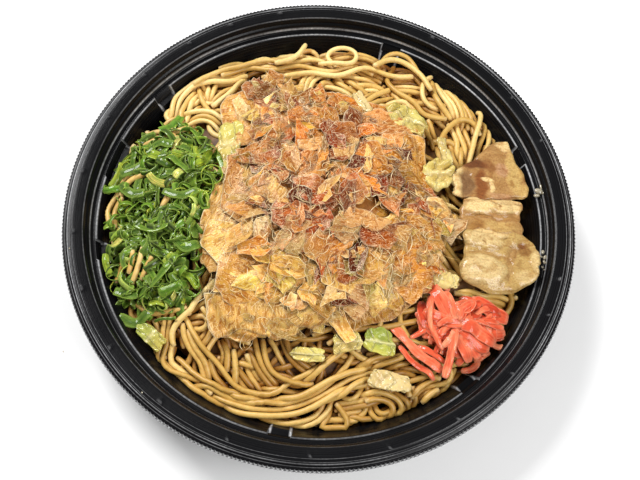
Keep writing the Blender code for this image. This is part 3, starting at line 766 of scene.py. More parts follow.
def filler_strands(base, rng):
    """Strands under the chosen ones, winding round the dish, so that no gap shows the core."""
    strands = []
    for layer, count in ((-3.0, 70), (-5.0, 80), (-7.0, 40)):
        for _ in range(count):
            radius = math.sqrt(rng.uniform(0.10, 1.0)) * 86 * MM
            azimuth = rng.uniform(0, 2 * math.pi)
            place = np.array((radius * math.cos(azimuth), radius * math.sin(azimuth)))
            heading = azimuth + math.pi / 2 * rng.choice((-1, 1)) + rng.normal(0, 0.5)
            steps = int(rng.uniform(20, 46))
            turn = drift(steps, 7, 0.16, rng)
            path = []
            for step in range(steps):
                path.append(place.copy())
                heading += turn[step]
                out = np.linalg.norm(place)
                if out > 81 * MM:
                    inward = math.atan2(-place[1], -place[0])
                    wrong = (inward - heading + math.pi) % (2 * math.pi) - math.pi
                    heading += 0.25 * wrong * (out - 81 * MM) / (5 * MM)
                place = place + 1.8 * MM * np.array((math.cos(heading), math.sin(heading)))
            path = np.array(path)
            z = noodle_depths(base, path[:, 0], path[:, 1]) + (layer + rng.normal(0, 0.6)) * MM
            strands.append(np.column_stack([path, z + drift(steps, 6, 0.6 * MM, rng)]))
    return strands


def near_pairs(places, reach):
    """All pairs of points closer than about the reach, found by sorting the points into cells."""
    cell = np.floor(places / reach).astype(np.int64) + 1000
    key = (cell[:, 0] * 4096 + cell[:, 1]) * 4096 + cell[:, 2]
    order = np.argsort(key, kind="stable")
    ranked = key[order]
    firsts, seconds = [], []
    for dx in (-1, 0, 1):
        for dy in (-1, 0, 1):
            for dz in (-1, 0, 1):
                wanted = key + (dx * 4096 + dy) * 4096 + dz
                low = np.searchsorted(ranked, wanted, "left")
                count = np.searchsorted(ranked, wanted, "right") - low
                first = np.repeat(np.arange(len(key)), count)
                offset = np.arange(count.sum()) - np.repeat(np.cumsum(count) - count, count)
                second = order[np.repeat(low, count) + offset]
                keep = first < second
                firsts.append(first[keep])
                seconds.append(second[keep])
    first, second = np.concatenate(firsts), np.concatenate(seconds)
    close = np.linalg.norm(places[first] - places[second], axis=1) < reach
    return first[close], second[close]


def settle(strands, base, steps, diameter, fixed_plan):
    """Pushes overlapping strands apart, mostly up and down, while they sag onto what is below them."""
    places = np.vstack(strands)
    owner = np.concatenate([np.full(len(s), k) for k, s in enumerate(strands)])
    index = np.arange(len(places))
    linked = np.flatnonzero(owner[1:] == owner[:-1])
    middle = linked[1:][linked[1:] - linked[:-1] == 1]
    anchor = places[:, :2].copy()
    ceiling = places[:, 2] + 1.4 * MM
    length = np.linalg.norm(places[linked + 1, :2] - places[linked, :2], axis=1)
    for step in range(steps):
        if step % 5 == 0:
            first, second = near_pairs(places, 1.25 * diameter)
            apart = (owner[first] != owner[second]) | (np.abs(index[first] - index[second]) > 4)
            first, second = first[apart], second[apart]
        places[:, 2] -= 0.03 * MM
        gap = places[first] - places[second]
        distance = np.linalg.norm(gap, axis=1) + 1e-9
        overlap = np.clip(diameter - distance, 0, None)
        push = gap / distance[:, None]
        push[:, 2] = np.where(np.abs(push[:, 2]) < 0.25, np.sign(first - second) * 0.4, push[:, 2])
        push *= (0.5 * overlap)[:, None]
        push[:, :2] *= 0.6
        hits = np.bincount(first, minlength=len(places)) + np.bincount(second, minlength=len(places)) + 1e-9
        for axis in range(3):
            total = np.bincount(first, push[:, axis], len(places)) - np.bincount(second, push[:, axis], len(places))
            places[:, axis] += total / np.maximum(np.sqrt(hits), 1.0)
        if len(middle):
            mean = 0.5 * (places[middle - 1] + places[middle + 1])
            places[middle, 2] += 0.45 * (mean[:, 2] - places[middle, 2])
            places[middle, :2] += 0.10 * (mean[:, :2] - places[middle, :2])
        along = places[linked + 1] - places[linked]
        now = np.linalg.norm(along, axis=1) + 1e-9
        pull = along * (0.25 * (now - length) / now)[:, None]
        np.add.at(places, linked, pull)
        np.add.at(places, linked + 1, -pull)
        places[:, :2] += fixed_plan * (anchor - places[:, :2])
        places[:, 2] = np.minimum(places[:, 2], ceiling + 0.3 * (places[:, 2] - ceiling))
        out = np.hypot(places[:, 0], places[:, 1])
        limit = np.where(places[:, 2] < LEDGE_Z, wall_radius(places[:, 2]) - 1.3 * MM, LEDGE_RADIUS - 1.0 * MM)
        places[:, :2] *= np.minimum(1.0, limit / np.maximum(out, MM))[:, None]
        places[:, 2] = np.maximum(places[:, 2], 3.2 * MM)
    return [places[owner == k] for k in range(len(strands))]


def noodle_section():
    """A rounded square, as cut noodles have."""
    angle = np.arange(8) / 8 * 2 * math.pi + math.pi / 8
    radius = 1.0 + 0.05 * np.cos(4 * angle)
    return np.stack([np.cos(angle), np.sin(angle)], 1) * radius[:, None]


def sunken(points, cell=3.0 * MM):
    """How far each point lies under the highest one near it, from 0 to 1 at 6 mm."""
    place = np.floor(points[:, :2] / cell).astype(int) + 60
    highest = np.full((120, 120), -1.0)
    np.maximum.at(highest, (place[:, 0], place[:, 1]), points[:, 2])
    shifts = [np.roll(highest, (i, j), (0, 1)) for i in (-1, 0, 1) for j in (-1, 0, 1)]
    highest = np.mean(np.maximum(shifts, highest - 2.0 * MM), 0)
    return np.clip((highest[place[:, 0], place[:, 1]] - points[:, 2] - 1.5 * MM) / (6 * MM), 0, 1)


# Noodles that show between the scallions: plan places in mm
GAP_STRANDS = (
    ((-85, 3), (-82, 11), (-75, 15)), ((-83, 3), (-80, 9), (-73, 12)), ((-86, -10), (-88, -3), (-85, 3), (-82, 8)),
    ((-83.5, -11), (-84.5, -4), (-82, 2)), ((-80, -34), (-78, -27), (-77, -21)), ((-73, -35), (-71, -28), (-70, -21)),
    ((-69, -34), (-67, -28), (-65, -24)), ((-77, 28), (-69, 31), (-61, 30)), ((-66, 36), (-63, 29), (-60, 22)),
    ((-73, 35), (-65, 34), (-58, 36)), ((-64, -4), (-62, 1), (-59, 3)), ((-75, -31), (-74, -26), (-74, -22)),
)


# Short strands in plan mm along the edge of the flake heap
EDGE_STRANDS = (
    ((-2, -50), (10, -44), (22, -40), (38, -36)), ((0, -53), (12, -48), (26, -44), (40, -40)),
    ((6, -56), (16, -50), (28, -48), (42, -44)), ((4, -38), (12, -42), (16, -50), (18, -58)),
    ((20, -32), (24, -38), (26, -46), (24, -54)), ((30, -30), (33, -38), (34, -46), (38, -52)),
    ((-44, -44), (-38, -50), (-28, -53), (-18, -54)), ((-42, -48), (-34, -54), (-24, -57)),
)


def make_noodles(base):
    rng = np.random.default_rng(3)
    strands = filler_strands(base, rng) + chosen_strands(base, rng)
    strands = settle(strands, base, 60, 2.0 * NOODLE_RADIUS, 0.06)
    heap = TopSurface("scallions", "noodles")
    buried = len(strands)
    for places in GAP_STRANDS + EDGE_STRANDS:
        plan = smooth_curve(np.array(places) * MM, 1.5 * MM)
        strands.append(np.column_stack([plan, heap.at(plan[:, 0], plan[:, 1]) - 0.4 * MM]))
    section = noodle_section()
    vertices, quads, caps, tones, cuts = [], [], [], [], []
    total = 0
    for strand in strands:
        path = smooth_curve(strand, 1.5 * MM)
        count = len(path)
        size = NOODLE_RADIUS * rng.normal(1.0, 0.05) * (1 + drift(count, 10, 0.03, rng))
        size[0] *= 0.82
        size[-1] *= 0.82
        twist = rng.uniform(0, 6.28) + drift(count, 25, 1.0, rng)
        ring = sweep(path, section, size * 1.0)
        centre = path[:, None]
        out = ring - centre
        tangent = np.gradient(path, axis=0)
        tangent /= np.linalg.norm(tangent, axis=1, keepdims=True) + 1e-12
        across = np.cross(tangent[:, None], out)
        ring = centre + out * np.cos(twist)[:, None, None] + across * np.sin(twist)[:, None, None]
        vertices.append(ring.reshape(-1, 3))
        ends = path[[0, -1]] + tangent[[0, -1]] * np.array([[-0.3], [0.3]]) * MM
        vertices.append(ends)
        a, b = tube_faces(count, len(section), total)
        quads.append(a)
        caps.append(b)
        added = count * len(section) + 2
        total += added
        # Tone is random for each strand, plus painted light: strands are made lighter towards the far side and towards
        # the left.
        x, y, _ = vertices[-2].mean(0) / (80 * MM)
        tones.append(np.full(added, rng.uniform(0, 1) + 0.35 * y + 0.5 * max(0.0, -x)))
        cut = np.zeros(added)
        cut[-2:] = 1
        cut[: len(section)] = 0.6
        cut[-2 - len(section) : -2] = 0.6
        cuts.append(cut)
    points = np.vstack(vertices)
    # Painted shade: strands lying under higher ones nearby are darkened; the strands laid over the top afterwards get
    # none.
    deep = sunken(points)
    deep[sum(len(v) for v in vertices[: 2 * buried]) :] = 0.0
    strands_piece = make_mesh("noodle_strands", points, [np.vstack(quads), np.vstack(caps)], noodle_material(),
                              {"tone": np.concatenate(tones), "cut": np.concatenate(cuts), "deep": deep})
    place_piece(strands_piece, "noodle", "noodles")
    print("noodle triangles", 2 * sum(len(q) for q in quads) + sum(len(c) for c in caps))
    make_noodle_core(base)


def make_noodle_core(base):
    turns, rings = 96, 24
    depth = 6.5 * MM
    vertices = [(0.0, 0.0, float(base.at(0, 0)) - depth)]
    for ring in range(1, rings + 1):
        for i in range(turns):
            angle = 2 * math.pi * i / turns
            radius = 78.0 * MM * ring / rings
            x, y = radius * math.cos(angle), radius * math.sin(angle)
            lumps = 0.8 * MM * math.sin(x / 0.0032) * math.sin(y / 0.0037 + 1.0)
            vertices.append((x, y, float(noodle_depths(base, x, y)) - depth + lumps - 4.0 * MM * max(0, ring / rings - 0.85) / 0.15))
    low = len(vertices)
    for i in range(turns):
        angle = 2 * math.pi * i / turns
        vertices.append((72.0 * MM * math.cos(angle), 72.0 * MM * math.sin(angle), 3.0 * MM))
    vertices.append((0.0, 0.0, 3.0 * MM))
    quads, fans = [], []
    for i in range(turns):
        j = (i + 1) % turns
        fans.append((0, 1 + i, 1 + j))
        for ring in range(rings - 1):
            a = 1 + ring * turns
            quads.append((a + i, a + turns + i, a + turns + j, a + j))
        last = 1 + (rings - 1) * turns
        quads.append((last + i, low + i, low + j, last + j))
        fans.append((len(vertices) - 1, low + j, low + i))
    core = make_mesh("noodle_core", vertices, [quads, fans], noodle_core_material())
    place_piece(core, "noodle", "noodles")


def noodle_material():
    material, nodes, links, shader = new_material("noodle_dough", 0.36)
    tone = add_attribute(nodes, "tone").outputs["Fac"]
    broad = add_noise(nodes, links, 45.0, 3.0, 0.4)
    fine = add_noise(nodes, links, 700.0, 4.0)
    mixed = add_maths(nodes, links, "MULTIPLY_ADD", broad, 0.75)
    links.new(add_maths(nodes, links, "MULTIPLY", tone, 0.42), mixed.node.inputs[2])
    stops = (
        (0.20, (0.31, 0.145, 0.020)),
        (0.45, (0.50, 0.290, 0.062)),
        (0.70, (0.68, 0.450, 0.130)),
        (0.95, (0.86, 0.650, 0.270)),
    )
    colour = add_ramp(nodes, links, mixed, stops)
    speck = add_ramp(nodes, links, fine, ((0.35, (0.80, 0.72, 0.62)), (0.62, (1.0, 1.0, 1.0))))
    colour = add_mix(nodes, links, 0.55, colour, speck, "MULTIPLY")
    cut = add_attribute(nodes, "cut").outputs["Fac"]
    colour = add_mix(nodes, links, add_maths(nodes, links, "MULTIPLY", cut, 0.7), colour, (0.84, 0.66, 0.36))
    # Painted shade: darker, browner colour where a strand lies under higher ones.
    deep = add_ramp(nodes, links, add_attribute(nodes, "deep").outputs["Fac"],
                    ((0.0, (1.06, 1.06, 1.06)), (0.45, (0.68, 0.50, 0.30)), (1.0, (0.30, 0.14, 0.03))))
    colour = add_mix(nodes, links, 1.0, colour, deep, "MULTIPLY")
    links.new(colour, shader.inputs["Base Color"])
    rough = add_maths(nodes, links, "MULTIPLY_ADD", broad, 0.25)
    rough.node.inputs[2].default_value = 0.32
    links.new(rough, shader.inputs["Roughness"])
    make_translucent(shader, 0.12, (1.0, 0.5, 0.2), 0.0012)
    add_bump(nodes, links, shader, fine, 0.25, 0.0003)
    return material


def noodle_core_material():
    material, nodes, links, shader = new_material("noodle_shade", 0.6)
    noise = add_noise(nodes, links, 260.0, 4.0, 0.5)
    colour = add_ramp(nodes, links, noise, ((0.35, (0.07, 0.025, 0.004)), (0.65, (0.18, 0.08, 0.015))))
    links.new(colour, shader.inputs["Base Color"])
    add_bump(nodes, links, shader, noise, 0.5, 0.001)
    return material


# ---------------------------------------------------------------- thin sheets and heaps


class Gather:
    """Collects many small closed meshes into one object."""

    def __init__(self):
        self.vertices, self.faces, self.values, self.count = [], [], {}, 0

    def add(self, vertices, faces, **values):
        vertices = np.asarray(vertices).reshape(-1, 3)
        self.vertices.append(vertices)
        self.faces += [np.asarray(g) + self.count for g in faces]
        self.count += len(vertices)
        for key, value in values.items():
            value = np.asarray(value, float)
            if value.ndim == 0 or (value.ndim == 1 and len(value) != len(vertices)):
                value = np.broadcast_to(value, (len(vertices), *value.shape))
            self.values.setdefault(key, []).append(value)

    def build(self, name, material):
        quads = [g for g in self.faces if g.shape[1] == 4]
        fans = [g for g in self.faces if g.shape[1] == 3]
        groups = [np.vstack(g) for g in (quads, fans) if g]
        values = {}
        for key, parts in self.values.items():
            joined = np.concatenate(parts)
            if joined.ndim == 2 and joined.shape[1] == 3:
                joined = np.column_stack([joined, np.ones(len(joined))])
            values[key] = joined
        print(name, "triangles", sum(len(g) * (g.shape[1] - 2) for g in groups))
        return make_mesh(name, np.vstack(self.vertices), groups, material, values)


def thin_sheet(middle, thickness, rim=0.35):
    """Vertices and quads of a closed sheet about a grid of points. It thins towards its rim."""
    rows, columns = middle.shape[:2]
    normal = np.cross(np.gradient(middle, axis=0), np.gradient(middle, axis=1))
    normal /= np.linalg.norm(normal, axis=2, keepdims=True) + 1e-12
    half = np.full((rows, columns), 0.5 * thickness)
    half[0] *= rim
    half[-1] *= rim
    half[:, 0] *= rim
    half[:, -1] *= rim
    top = middle + normal * half[..., None]
    low = middle - normal * half[..., None]
    grid = np.arange(rows * columns).reshape(rows, columns)
    quads = np.stack([grid[:-1, :-1], grid[1:, :-1], grid[1:, 1:], grid[:-1, 1:]], -1).reshape(-1, 4)
    under = quads[:, ::-1] + rows * columns
    loop = np.concatenate([grid[:, 0], grid[-1, 1:], grid[-2::-1, -1], grid[0, -2:0:-1]])
    after = np.roll(loop, -1)
    side = np.stack([after, loop, loop + rows * columns, after + rows * columns], 1)
    return np.concatenate([top.reshape(-1, 3), low.reshape(-1, 3)]), [quads, under, side]


def disc_grid(count):
    """A square grid mapped to the unit disc, closer set at its rim: distance from the middle and angle of each point."""
    line = np.linspace(-1, 1, count)
    line = np.sign(line) * (1 - (1 - np.abs(line)) ** 1.35)
    u, v = np.meshgrid(line, line, indexing="ij")
    x, y = u * np.sqrt(1 - 0.5 * v * v), v * np.sqrt(1 - 0.5 * u * u)
    return np.minimum(np.hypot(x, y), 1.0), np.arctan2(y, x)


def outline_radius(angle, corners, middle):
    """Distance from the middle to a closed outline of plan corners, in each direction."""
    steps = np.arange(12)[:, None, None] / 12
    loop = (corners * (1 - steps) + np.roll(corners, -1, 0) * steps).transpose(1, 0, 2).reshape(-1, 2)
    loop = np.vstack([loop, loop[:1]]) - middle
    around = np.unwrap(np.arctan2(loop[:, 1], loop[:, 0]))
    if around[-1] < around[0]:
        loop, around = loop[::-1], around[::-1]
    around = np.maximum.accumulate(around)
    reach = np.linalg.norm(loop, axis=1)
    place = (angle.ravel() - around[0]) % (2 * math.pi) + around[0]
    return np.interp(place, around, reach).reshape(angle.shape)


def wrinkles(x, y, waves, rng):
    """Sum of crossing waves with sharpened crests. Each wave is a length and a height in millimetres."""
    total = np.zeros_like(x)
    for length, height in waves:
        turn = rng.uniform(0, math.pi)
        bend = rng.normal(0, 0.35 * length, 2) * MM
        along = x * math.cos(turn) + y * math.sin(turn)
        across = y * math.cos(turn) - x * math.sin(turn)
        along = along + bend[0] * np.sin(across / (0.8 * length * MM) + rng.uniform(0, 6.28))
        wave = np.sin(along * 2 * math.pi / (length * MM) + rng.uniform(0, 6.28))
        total = total + height * MM * rng.uniform(0.6, 1.3) * (1 - 2 * np.abs(wave) ** 0.8)
    return total


def crumple(x, y, size, height, rng):
    """Soft folds without a regular beat, about size apart. Both are in millimetres."""
    u, v = x / (size * MM), y / (size * MM)
    u, v = u + 0.35 * np.sin(2.1 * v + rng.uniform(0, 6.28)), v + 0.35 * np.sin(1.7 * u + rng.uniform(0, 6.28))
    total = np.zeros_like(x)
    for _ in range(4):
        turn, rate = rng.uniform(0, math.pi), rng.uniform(0.5, 1.5)
        total = total + np.sin(2 * math.pi * rate * (u * math.cos(turn) + v * math.sin(turn)) + rng.uniform(0, 6.28)) / (0.5 + rate)
    return 0.6 * height * MM * total


def heap_core(name, surface, drop, bottom, pitch, edge, material, slot, node):
    """A plain smaller body under a heap's loose pieces, cut from the heap's packed top."""
    count = int(180 * MM / pitch)
    line = (np.arange(count) - count / 2) * pitch
    x, y = np.meshgrid(line, line, indexing="ij")
    inside = np.ones_like(x, bool)
    for turn in np.arange(8) / 8 * 2 * math.pi:
        inside &= surface.over(x + edge * math.cos(turn), y + edge * math.sin(turn))
    top = surface.at(x, y) - drop
    low = bottom.at(x, y) - 3.0 * MM
    top = np.maximum(top, low + 0.5 * MM)
    cells = inside[:-1, :-1] & inside[1:, :-1] & inside[1:, 1:] & inside[:-1, 1:]
    grid = np.arange(count * count).reshape(count, count)
    i, j = np.nonzero(cells)
    quads = np.stack([grid[i, j], grid[i + 1, j], grid[i + 1, j + 1], grid[i, j + 1]], 1)
    under = quads[:, ::-1] + count * count
    edges = np.concatenate([quads[:, [k, (k + 1) % 4]] for k in range(4)])
    twins = set(map(tuple, edges))
    rim = np.array([e for e in edges if (e[1], e[0]) not in twins])
    side = np.column_stack([rim[:, 1], rim[:, 0], rim[:, 0] + count * count, rim[:, 1] + count * count])
    vertices = np.concatenate([np.stack([x, y, top], -1).reshape(-1, 3), np.stack([x, y, low], -1).reshape(-1, 3)])
    faces = np.concatenate([quads, under, side])
    used, index = np.unique(faces, return_inverse=True)
    item = make_mesh(name, vertices[used], index.reshape(faces.shape), material)
    place_piece(item, slot, node)


def core_material(name, dark, light, scale):
    material, nodes, links, shader = new_material(name, 0.55)
    noise = add_noise(nodes, links, scale, 4.0, 0.6)
    links.new(add_ramp(nodes, links, noise, ((0.35, dark), (0.65, light))), shader.inputs["Base Color"])
    add_bump(nodes, links, shader, noise, 0.6, 0.001)
    return material


def add_stretched_noise(nodes, links, vector, scale, detail, distortion):
    mapping = nodes.new("ShaderNodeMapping")
    mapping.inputs["Scale"].default_value = scale
    links.new(vector, mapping.inputs["Vector"])
    noise = nodes.new("ShaderNodeTexNoise")
    noise.inputs["Scale"].default_value = 1.0
    noise.inputs["Detail"].default_value = detail
    noise.inputs["Distortion"].default_value = distortion
    links.new(mapping.outputs["Vector"], noise.inputs["Vector"])
    return noise.outputs["Fac"]


# ---------------------------------------------------------------- fish flakes

FLAKE_TINTS = {
    "cream": (0.78, 0.49, 0.115), "tan": (0.66, 0.32, 0.048), "orange": (0.58, 0.200, 0.014), "red": (0.36, 0.060, 0.006),
    "dark": (0.20, 0.028, 0.004), "purple": (0.34, 0.100, 0.045), "pink": (0.72, 0.34, 0.100), "pale": (0.84, 0.58, 0.20),
    "honey": (0.62, 0.385, 0.095), "grey": (0.60, 0.38, 0.140), "yellow": (0.66, 0.38, 0.060), "brown": (0.40, 0.120, 0.008),
}
# Plan places and half sizes in mm where big calm sheets stay bare
CALM_SHEETS = ((-40, -14, 9, 21), (-24, -50, 19, 10), (-30, -34, 9, 10), (26, 38, 11, 9), (17, -9.5, 9, 5), (-17, 1, 5, 6), (16, -40, 5, 7))
# Tint, lift above the heap in mm, wrinkle height in mm, corners of the outline in plan mm
FLAKE_SHEETS = (
    ("tan", -0.5, 0.8, ((-2, -34), (18, -30), (36, -30), (40, -38), (30, -46), (16, -51), (4, -50))),
    ("cream", -0.5, 0.8, ((-44, -38), (-30, -40), (-14, -42), (0, -44), (-6, -54), (-24, -57), (-38, -56))),
    ("tan", -1.5, 0.9, ((-44, 38), (-44, 54), (-34, 58), (-20, 56), (-14, 40), (-24, 30), (-38, 27))),
    ("orange", -1.5, 0.9, ((-20, 46), (-8, 60), (10, 56), (26, 52), (38, 46), (40, 26), (16, 22), (-12, 26))),
    ("tan", -1.5, 0.9, ((14, 22), (36, 30), (44, 16), (48, 0), (42, -14), (22, -8), (12, 6))),
    ("orange", -1.5, 0.9, ((-40, 20), (-20, 26), (6, 24), (16, 6), (6, -12), (-20, -16), (-40, -6))),
    ("tan", -1.5, 0.9, ((-4, -4), (20, -8), (44, -12), (46, -30), (26, -42), (2, -36))),
    ("cream", -1.5, 0.9, ((-44, -10), (-20, -10), (2, -20), (4, -38), (-16, -44), (-40, -40))),
    ("honey", 0.4, 0.8, ((-44, 5), (-40, 10), (-33, 4), (-30, -8), (-30, -22), (-35, -30), (-42, -32), (-46, -27), (-48.5, -19),
                         (-48, -9))),
    ("cream", 1.2, 0.7, ((-42, -42), (-40, -52), (-37, -57), (-30, -54), (-22, -54.5), (-14, -56.5), (-5, -53), (-9, -47),
                        (-15, -41), (-26, -40), (-36, -38))),
    ("tan", 0.8, 0.7, ((-38, -26), (-30, -23), (-21, -27), (-17, -36), (-22, -44), (-32, -45), (-39, -38))),
    ("cream", 1.6, 1.0, ((-21, -22), (-12, -22), (-5, -27), (-4, -36), (-12, -41), (-20, -36))),
    ("orange", 0.6, 0.5, ((-46, -3), (-41, -2), (-40, -10), (-44, -12), (-47, -8))),
    ("brown", 1.0, 0.8, ((-31, 60), (-27, 70), (-20, 68), (-19, 58), (-22, 50), (-30, 52))),
    ("purple", 2.4, 1.0, ((-38, 59), (-33, 65), (-26, 61), (-21, 52), (-21, 43), (-26, 39.5), (-31, 46), (-36, 54))),
    ("pale", 1.6, 0.7, ((-41, 50), (-38, 54), (-33, 47), (-28, 41), (-32, 38), (-38, 41))),
    ("cream", 1.0, 0.8, ((-20, 42), (-17, 56), (-12, 62), (-9, 52), (-11, 43))),
    ("cream", 0.8, 0.9, ((-40, 32), (-30, 37), (-18, 38), (-17, 30), (-27, 25), (-38, 26))),
    ("orange", 1.8, 0.6, ((-9, 46), (-7, 57), (-3.6, 63), (0, 55), (-0.6, 46), (-5, 43))),
    ("grey", 1.8, 0.5, ((0, 48), (1, 53), (5, 54), (6, 49), (4, 44))),
    ("cream", 2.4, 0.9, ((5, 44), (8, 51), (15, 51), (16, 45), (11, 41))),
    ("dark", 2.6, 0.8, ((7, 38), (9, 46), (15, 44), (15, 33), (11, 29))),
    ("tan", 1.4, 0.7, ((-15, 36), (-8, 42), (2, 45), (6, 36), (4, 26), (-6, 23), (-13, 27))),
    ("red", 2.0, 0.6, ((1, 30), (4, 35), (12, 36), (13, 24), (8, 17), (3, 21))),
    ("orange", 1.2, 0.8, ((-37, 23), (-26, 26), (-15, 22), (-14, 12), (-24, 8), (-33, 13))),
    ("red", 2.0, 0.6, ((-30, 18), (-20, 20), (-12, 14), (-14, 9), (-26, 12))),
    ("yellow", 1.2, 0.6, ((-33, 12), (-28, 12), (-24, 5), (-28, 2), (-33, 6))),
    ("pink", 2.4, 0.6, ((14, 44), (20, 49), (29, 48), (37, 42), (38, 33), (30, 27), (20, 27), (14, 33))),
    ("pale", 3.0, 0.5, ((16, 29), (20, 31), (26, 30), (25, 26.4), (19, 26))),
    ("orange", 2.0, 0.6, ((11, 16), (14, 26), (22, 28), (26, 18), (22, 6), (14, 7))),
    ("dark", 1.6, 0.7, ((24, 12), (28, 16), (34, 11), (31, 4), (26, 4))),
    ("tan", 2.0, 0.8, ((28, 30), (34, 38), (42, 35), (43, 22), (39, 9), (30, 10), (27, 20))),
    ("pale", 2.8, 0.5, ((8, 2), (14, 9), (21, 8), (20, 0), (14, -5))),
    ("pale", 3.0, 0.3, ((6, -11), (12, -4), (21, -7.4), (28.4, -9.6), (24, -14), (12, -14.6))),
    ("grey", 2.6, 0.4, ((5, -12), (12, -14.6), (16, -17), (10, -21), (4.4, -18))),
    ("red", 1.6, 0.5, ((34, 0), (39, 1), (40, -4), (35, -5))),
    ("pale", 2.2, 0.8, ((43, 6), (50, 7), (53, 0), (51, -5), (45, -4))),
    ("pale", 3.2, 0.6, ((-22, 2), (-20, 8), (-16, 3), (-11, -1), (-12, -6), (-15, -8), (-20, -5))),
    ("tan", 1.6, 0.7, ((-12, 16), (-4, 22), (2, 17), (1, 8), (-6, 4), (-13, 8))),
    ("pale", 2.2, 0.6, ((-11, 24), (-1, 26), (3, 22), (-4, 19), (-11, 20))),
    ("red", 2.0, 0.8, ((-19, -6), (-10, -3), (0, -6), (5, -12), (-2, -19), (-12, -18), (-19, -13))),
    ("grey", 2.2, 0.6, ((-25, -11), (-20, -9), (-18, -16), (-21, -22), (-25, -20))),
    ("cream", 1.8, 0.6, ((-31, -11), (-26, -11), (-24, -18), (-29, -21))),
    ("grey", 2.6, 0.7, ((-15, -18), (-9, -16), (-5, -20), (-8, -27), (-13, -25))),
    ("orange", 2.2, 0.7, ((-6, -18), (2, -16), (10, -19), (10, -26), (2, -30), (-5, -26))),
    ("red", 2.4, 0.6, ((13, -11), (22, -11), (31, -15), (28, -21), (18, -20))),
    ("tan", 1.8, 0.6, ((12, -21), (20, -20), (28, -24), (25, -30), (15, -30))),
    ("yellow", 1.4, 0.6, ((-6, -27), (1, -29), (9, -28), (9, -37), (2, -40), (-5, -36))),
    ("red", 2.2, 0.7, ((8, -27), (14, -28), (16, -33), (11, -36), (7, -33))),
    ("grey", 2.4, 0.5, ((10, -36), (15, -32), (22, -37), (21, -44), (16, -49), (11, -45))),
    ("cream", 1.8, 0.5, ((20, -34), (27, -34), (31, -38), (27, -43), (20, -42))),
    ("orange", 1.2, 0.8, ((25, -14), (34, -13), (44, -18), (46, -30), (38, -40), (29, -34), (24, -24))),
    ("tan", 1.6, 0.7, ((29, -4), (38, -3), (49, -8), (51, -17), (42, -20), (31, -16))),
    ("red", 2.6, 0.7, ((-12, 6), (-4, 8), (4, 4), (6, -3), (-2, -6), (-10, -2))),
    ("tan", 2.4, 0.7, ((-30, 4), (-24, 10), (-20, 2), (-23, -6), (-29, -4))),
    ("orange", 1.6, 0.7, ((36, -20), (46, -20), (52, -26), (48, -34), (40, -34))),
    ("cream", 1.4, 0.8, ((-12, -44), (-4, -40), (4, -42), (8, -48), (0, -52), (-10, -51))),
)

LIGHT_AZIMUTH = math.radians(135)


def flake_sheet(gather, corners, tint, lift, height, count, surface, rng, tilt=0.0):
    """One flake over plan corners. It follows the heap loosely, with wrinkles and a lifted, torn rim."""
    corners = torn_outline(np.asarray(corners), 0.07, rng)
    middle = corners.mean(0)
    share, angle = disc_grid(count)
    reach = outline_radius(angle, corners, middle)
    away = share * reach
    x, y = middle[0] + away * np.cos(angle), middle[1] + away * np.sin(angle)
    ground = surface.at(x, y)
    size = float(reach.mean())
    plane = 0.6 * ground + 0.4 * ground.mean()
    turn = rng.uniform(0, 2 * math.pi)
    slope = away * np.cos(angle - turn) * math.tan(tilt)
    curl_turn = rng.uniform(0, 2 * math.pi)
    curl = np.clip(share * np.cos(angle - curl_turn) - 0.25, 0, None) ** 2 * size * rng.uniform(0.0, 0.35)
    waves = ((13.0, 0.5 * height), (7.0, 0.4 * height), (4.0, 0.10 * height))
    z = plane + slope + curl + lift * MM + wrinkles(x, y, waves, rng) - 0.6 * MM * share**6
    vertices, faces = thin_sheet(np.stack([x, y, z], -1), 0.10 * MM)
    # Painted highlight: a thin cream line along the rim, brighter on the side that faces the key light.
    lit = 0.6 + 0.4 * np.cos(angle - LIGHT_AZIMUTH)
    edge = np.exp(-(reach - away) / (0.25 * MM)) * lit
    tone = np.asarray(FLAKE_TINTS[tint]) * rng.normal(1.0, 0.06, 3)
    other = np.asarray(FLAKE_TINTS[rng.choice(("cream", "tan", "orange"))])
    blend = 0.55 * np.clip(0.4 + 0.6 * share * np.cos(angle - rng.uniform(0, 6.28)), 0, 1)[..., None]
    colours = (tone * (1 - blend) + other * blend) * (1 + 0.10 * np.sin(share * 5 + angle * 2))[..., None]
    colours = colours * centre_red(x, y)
    heading = rng.uniform(0, math.pi)
    along = (x - middle[0]) * math.cos(heading) + (y - middle[1]) * math.sin(heading)
    across = (y - middle[1]) * math.cos(heading) - (x - middle[0]) * math.sin(heading)
    grain = np.stack([along / MM + rng.uniform(-90, 90), across / MM + rng.uniform(-90, 90), 0 * along], -1)
    gather.add(
        vertices, faces,
        tint=np.tile(np.clip(colours, 0, 1).reshape(-1, 3), (2, 1)),
        grain=np.tile(grain.reshape(-1, 3), (2, 1)),
        edge=np.tile(edge.ravel(), 2),
        veil=rng.uniform(0.4, 0.75),
    )


def torn_outline(corners, jag, rng):
    """Adds two uneven points to each side of a closed outline."""
    after = np.roll(corners, -1, 0)
    normal = (after - corners)[:, ::-1] * (1, -1)
    points = [corners]
    for share in (0.33, 0.67):
        share = share + rng.uniform(-0.12, 0.12, (len(corners), 1))
        points.append(corners + (after - corners) * share + normal * rng.normal(0, jag, (len(corners), 1)))
    return np.stack(points, 1).reshape(-1, 2)


def centre_red(x, y):
    """How much redder and darker the flakes are towards the middle of the heap, for each colour channel."""
    share = np.clip(1.35 - np.hypot((x / MM - 0) / 34, (y / MM - 12) / 38), 0, 1)[..., None]
    return 1 - share * (0.10, 0.30, 0.42)


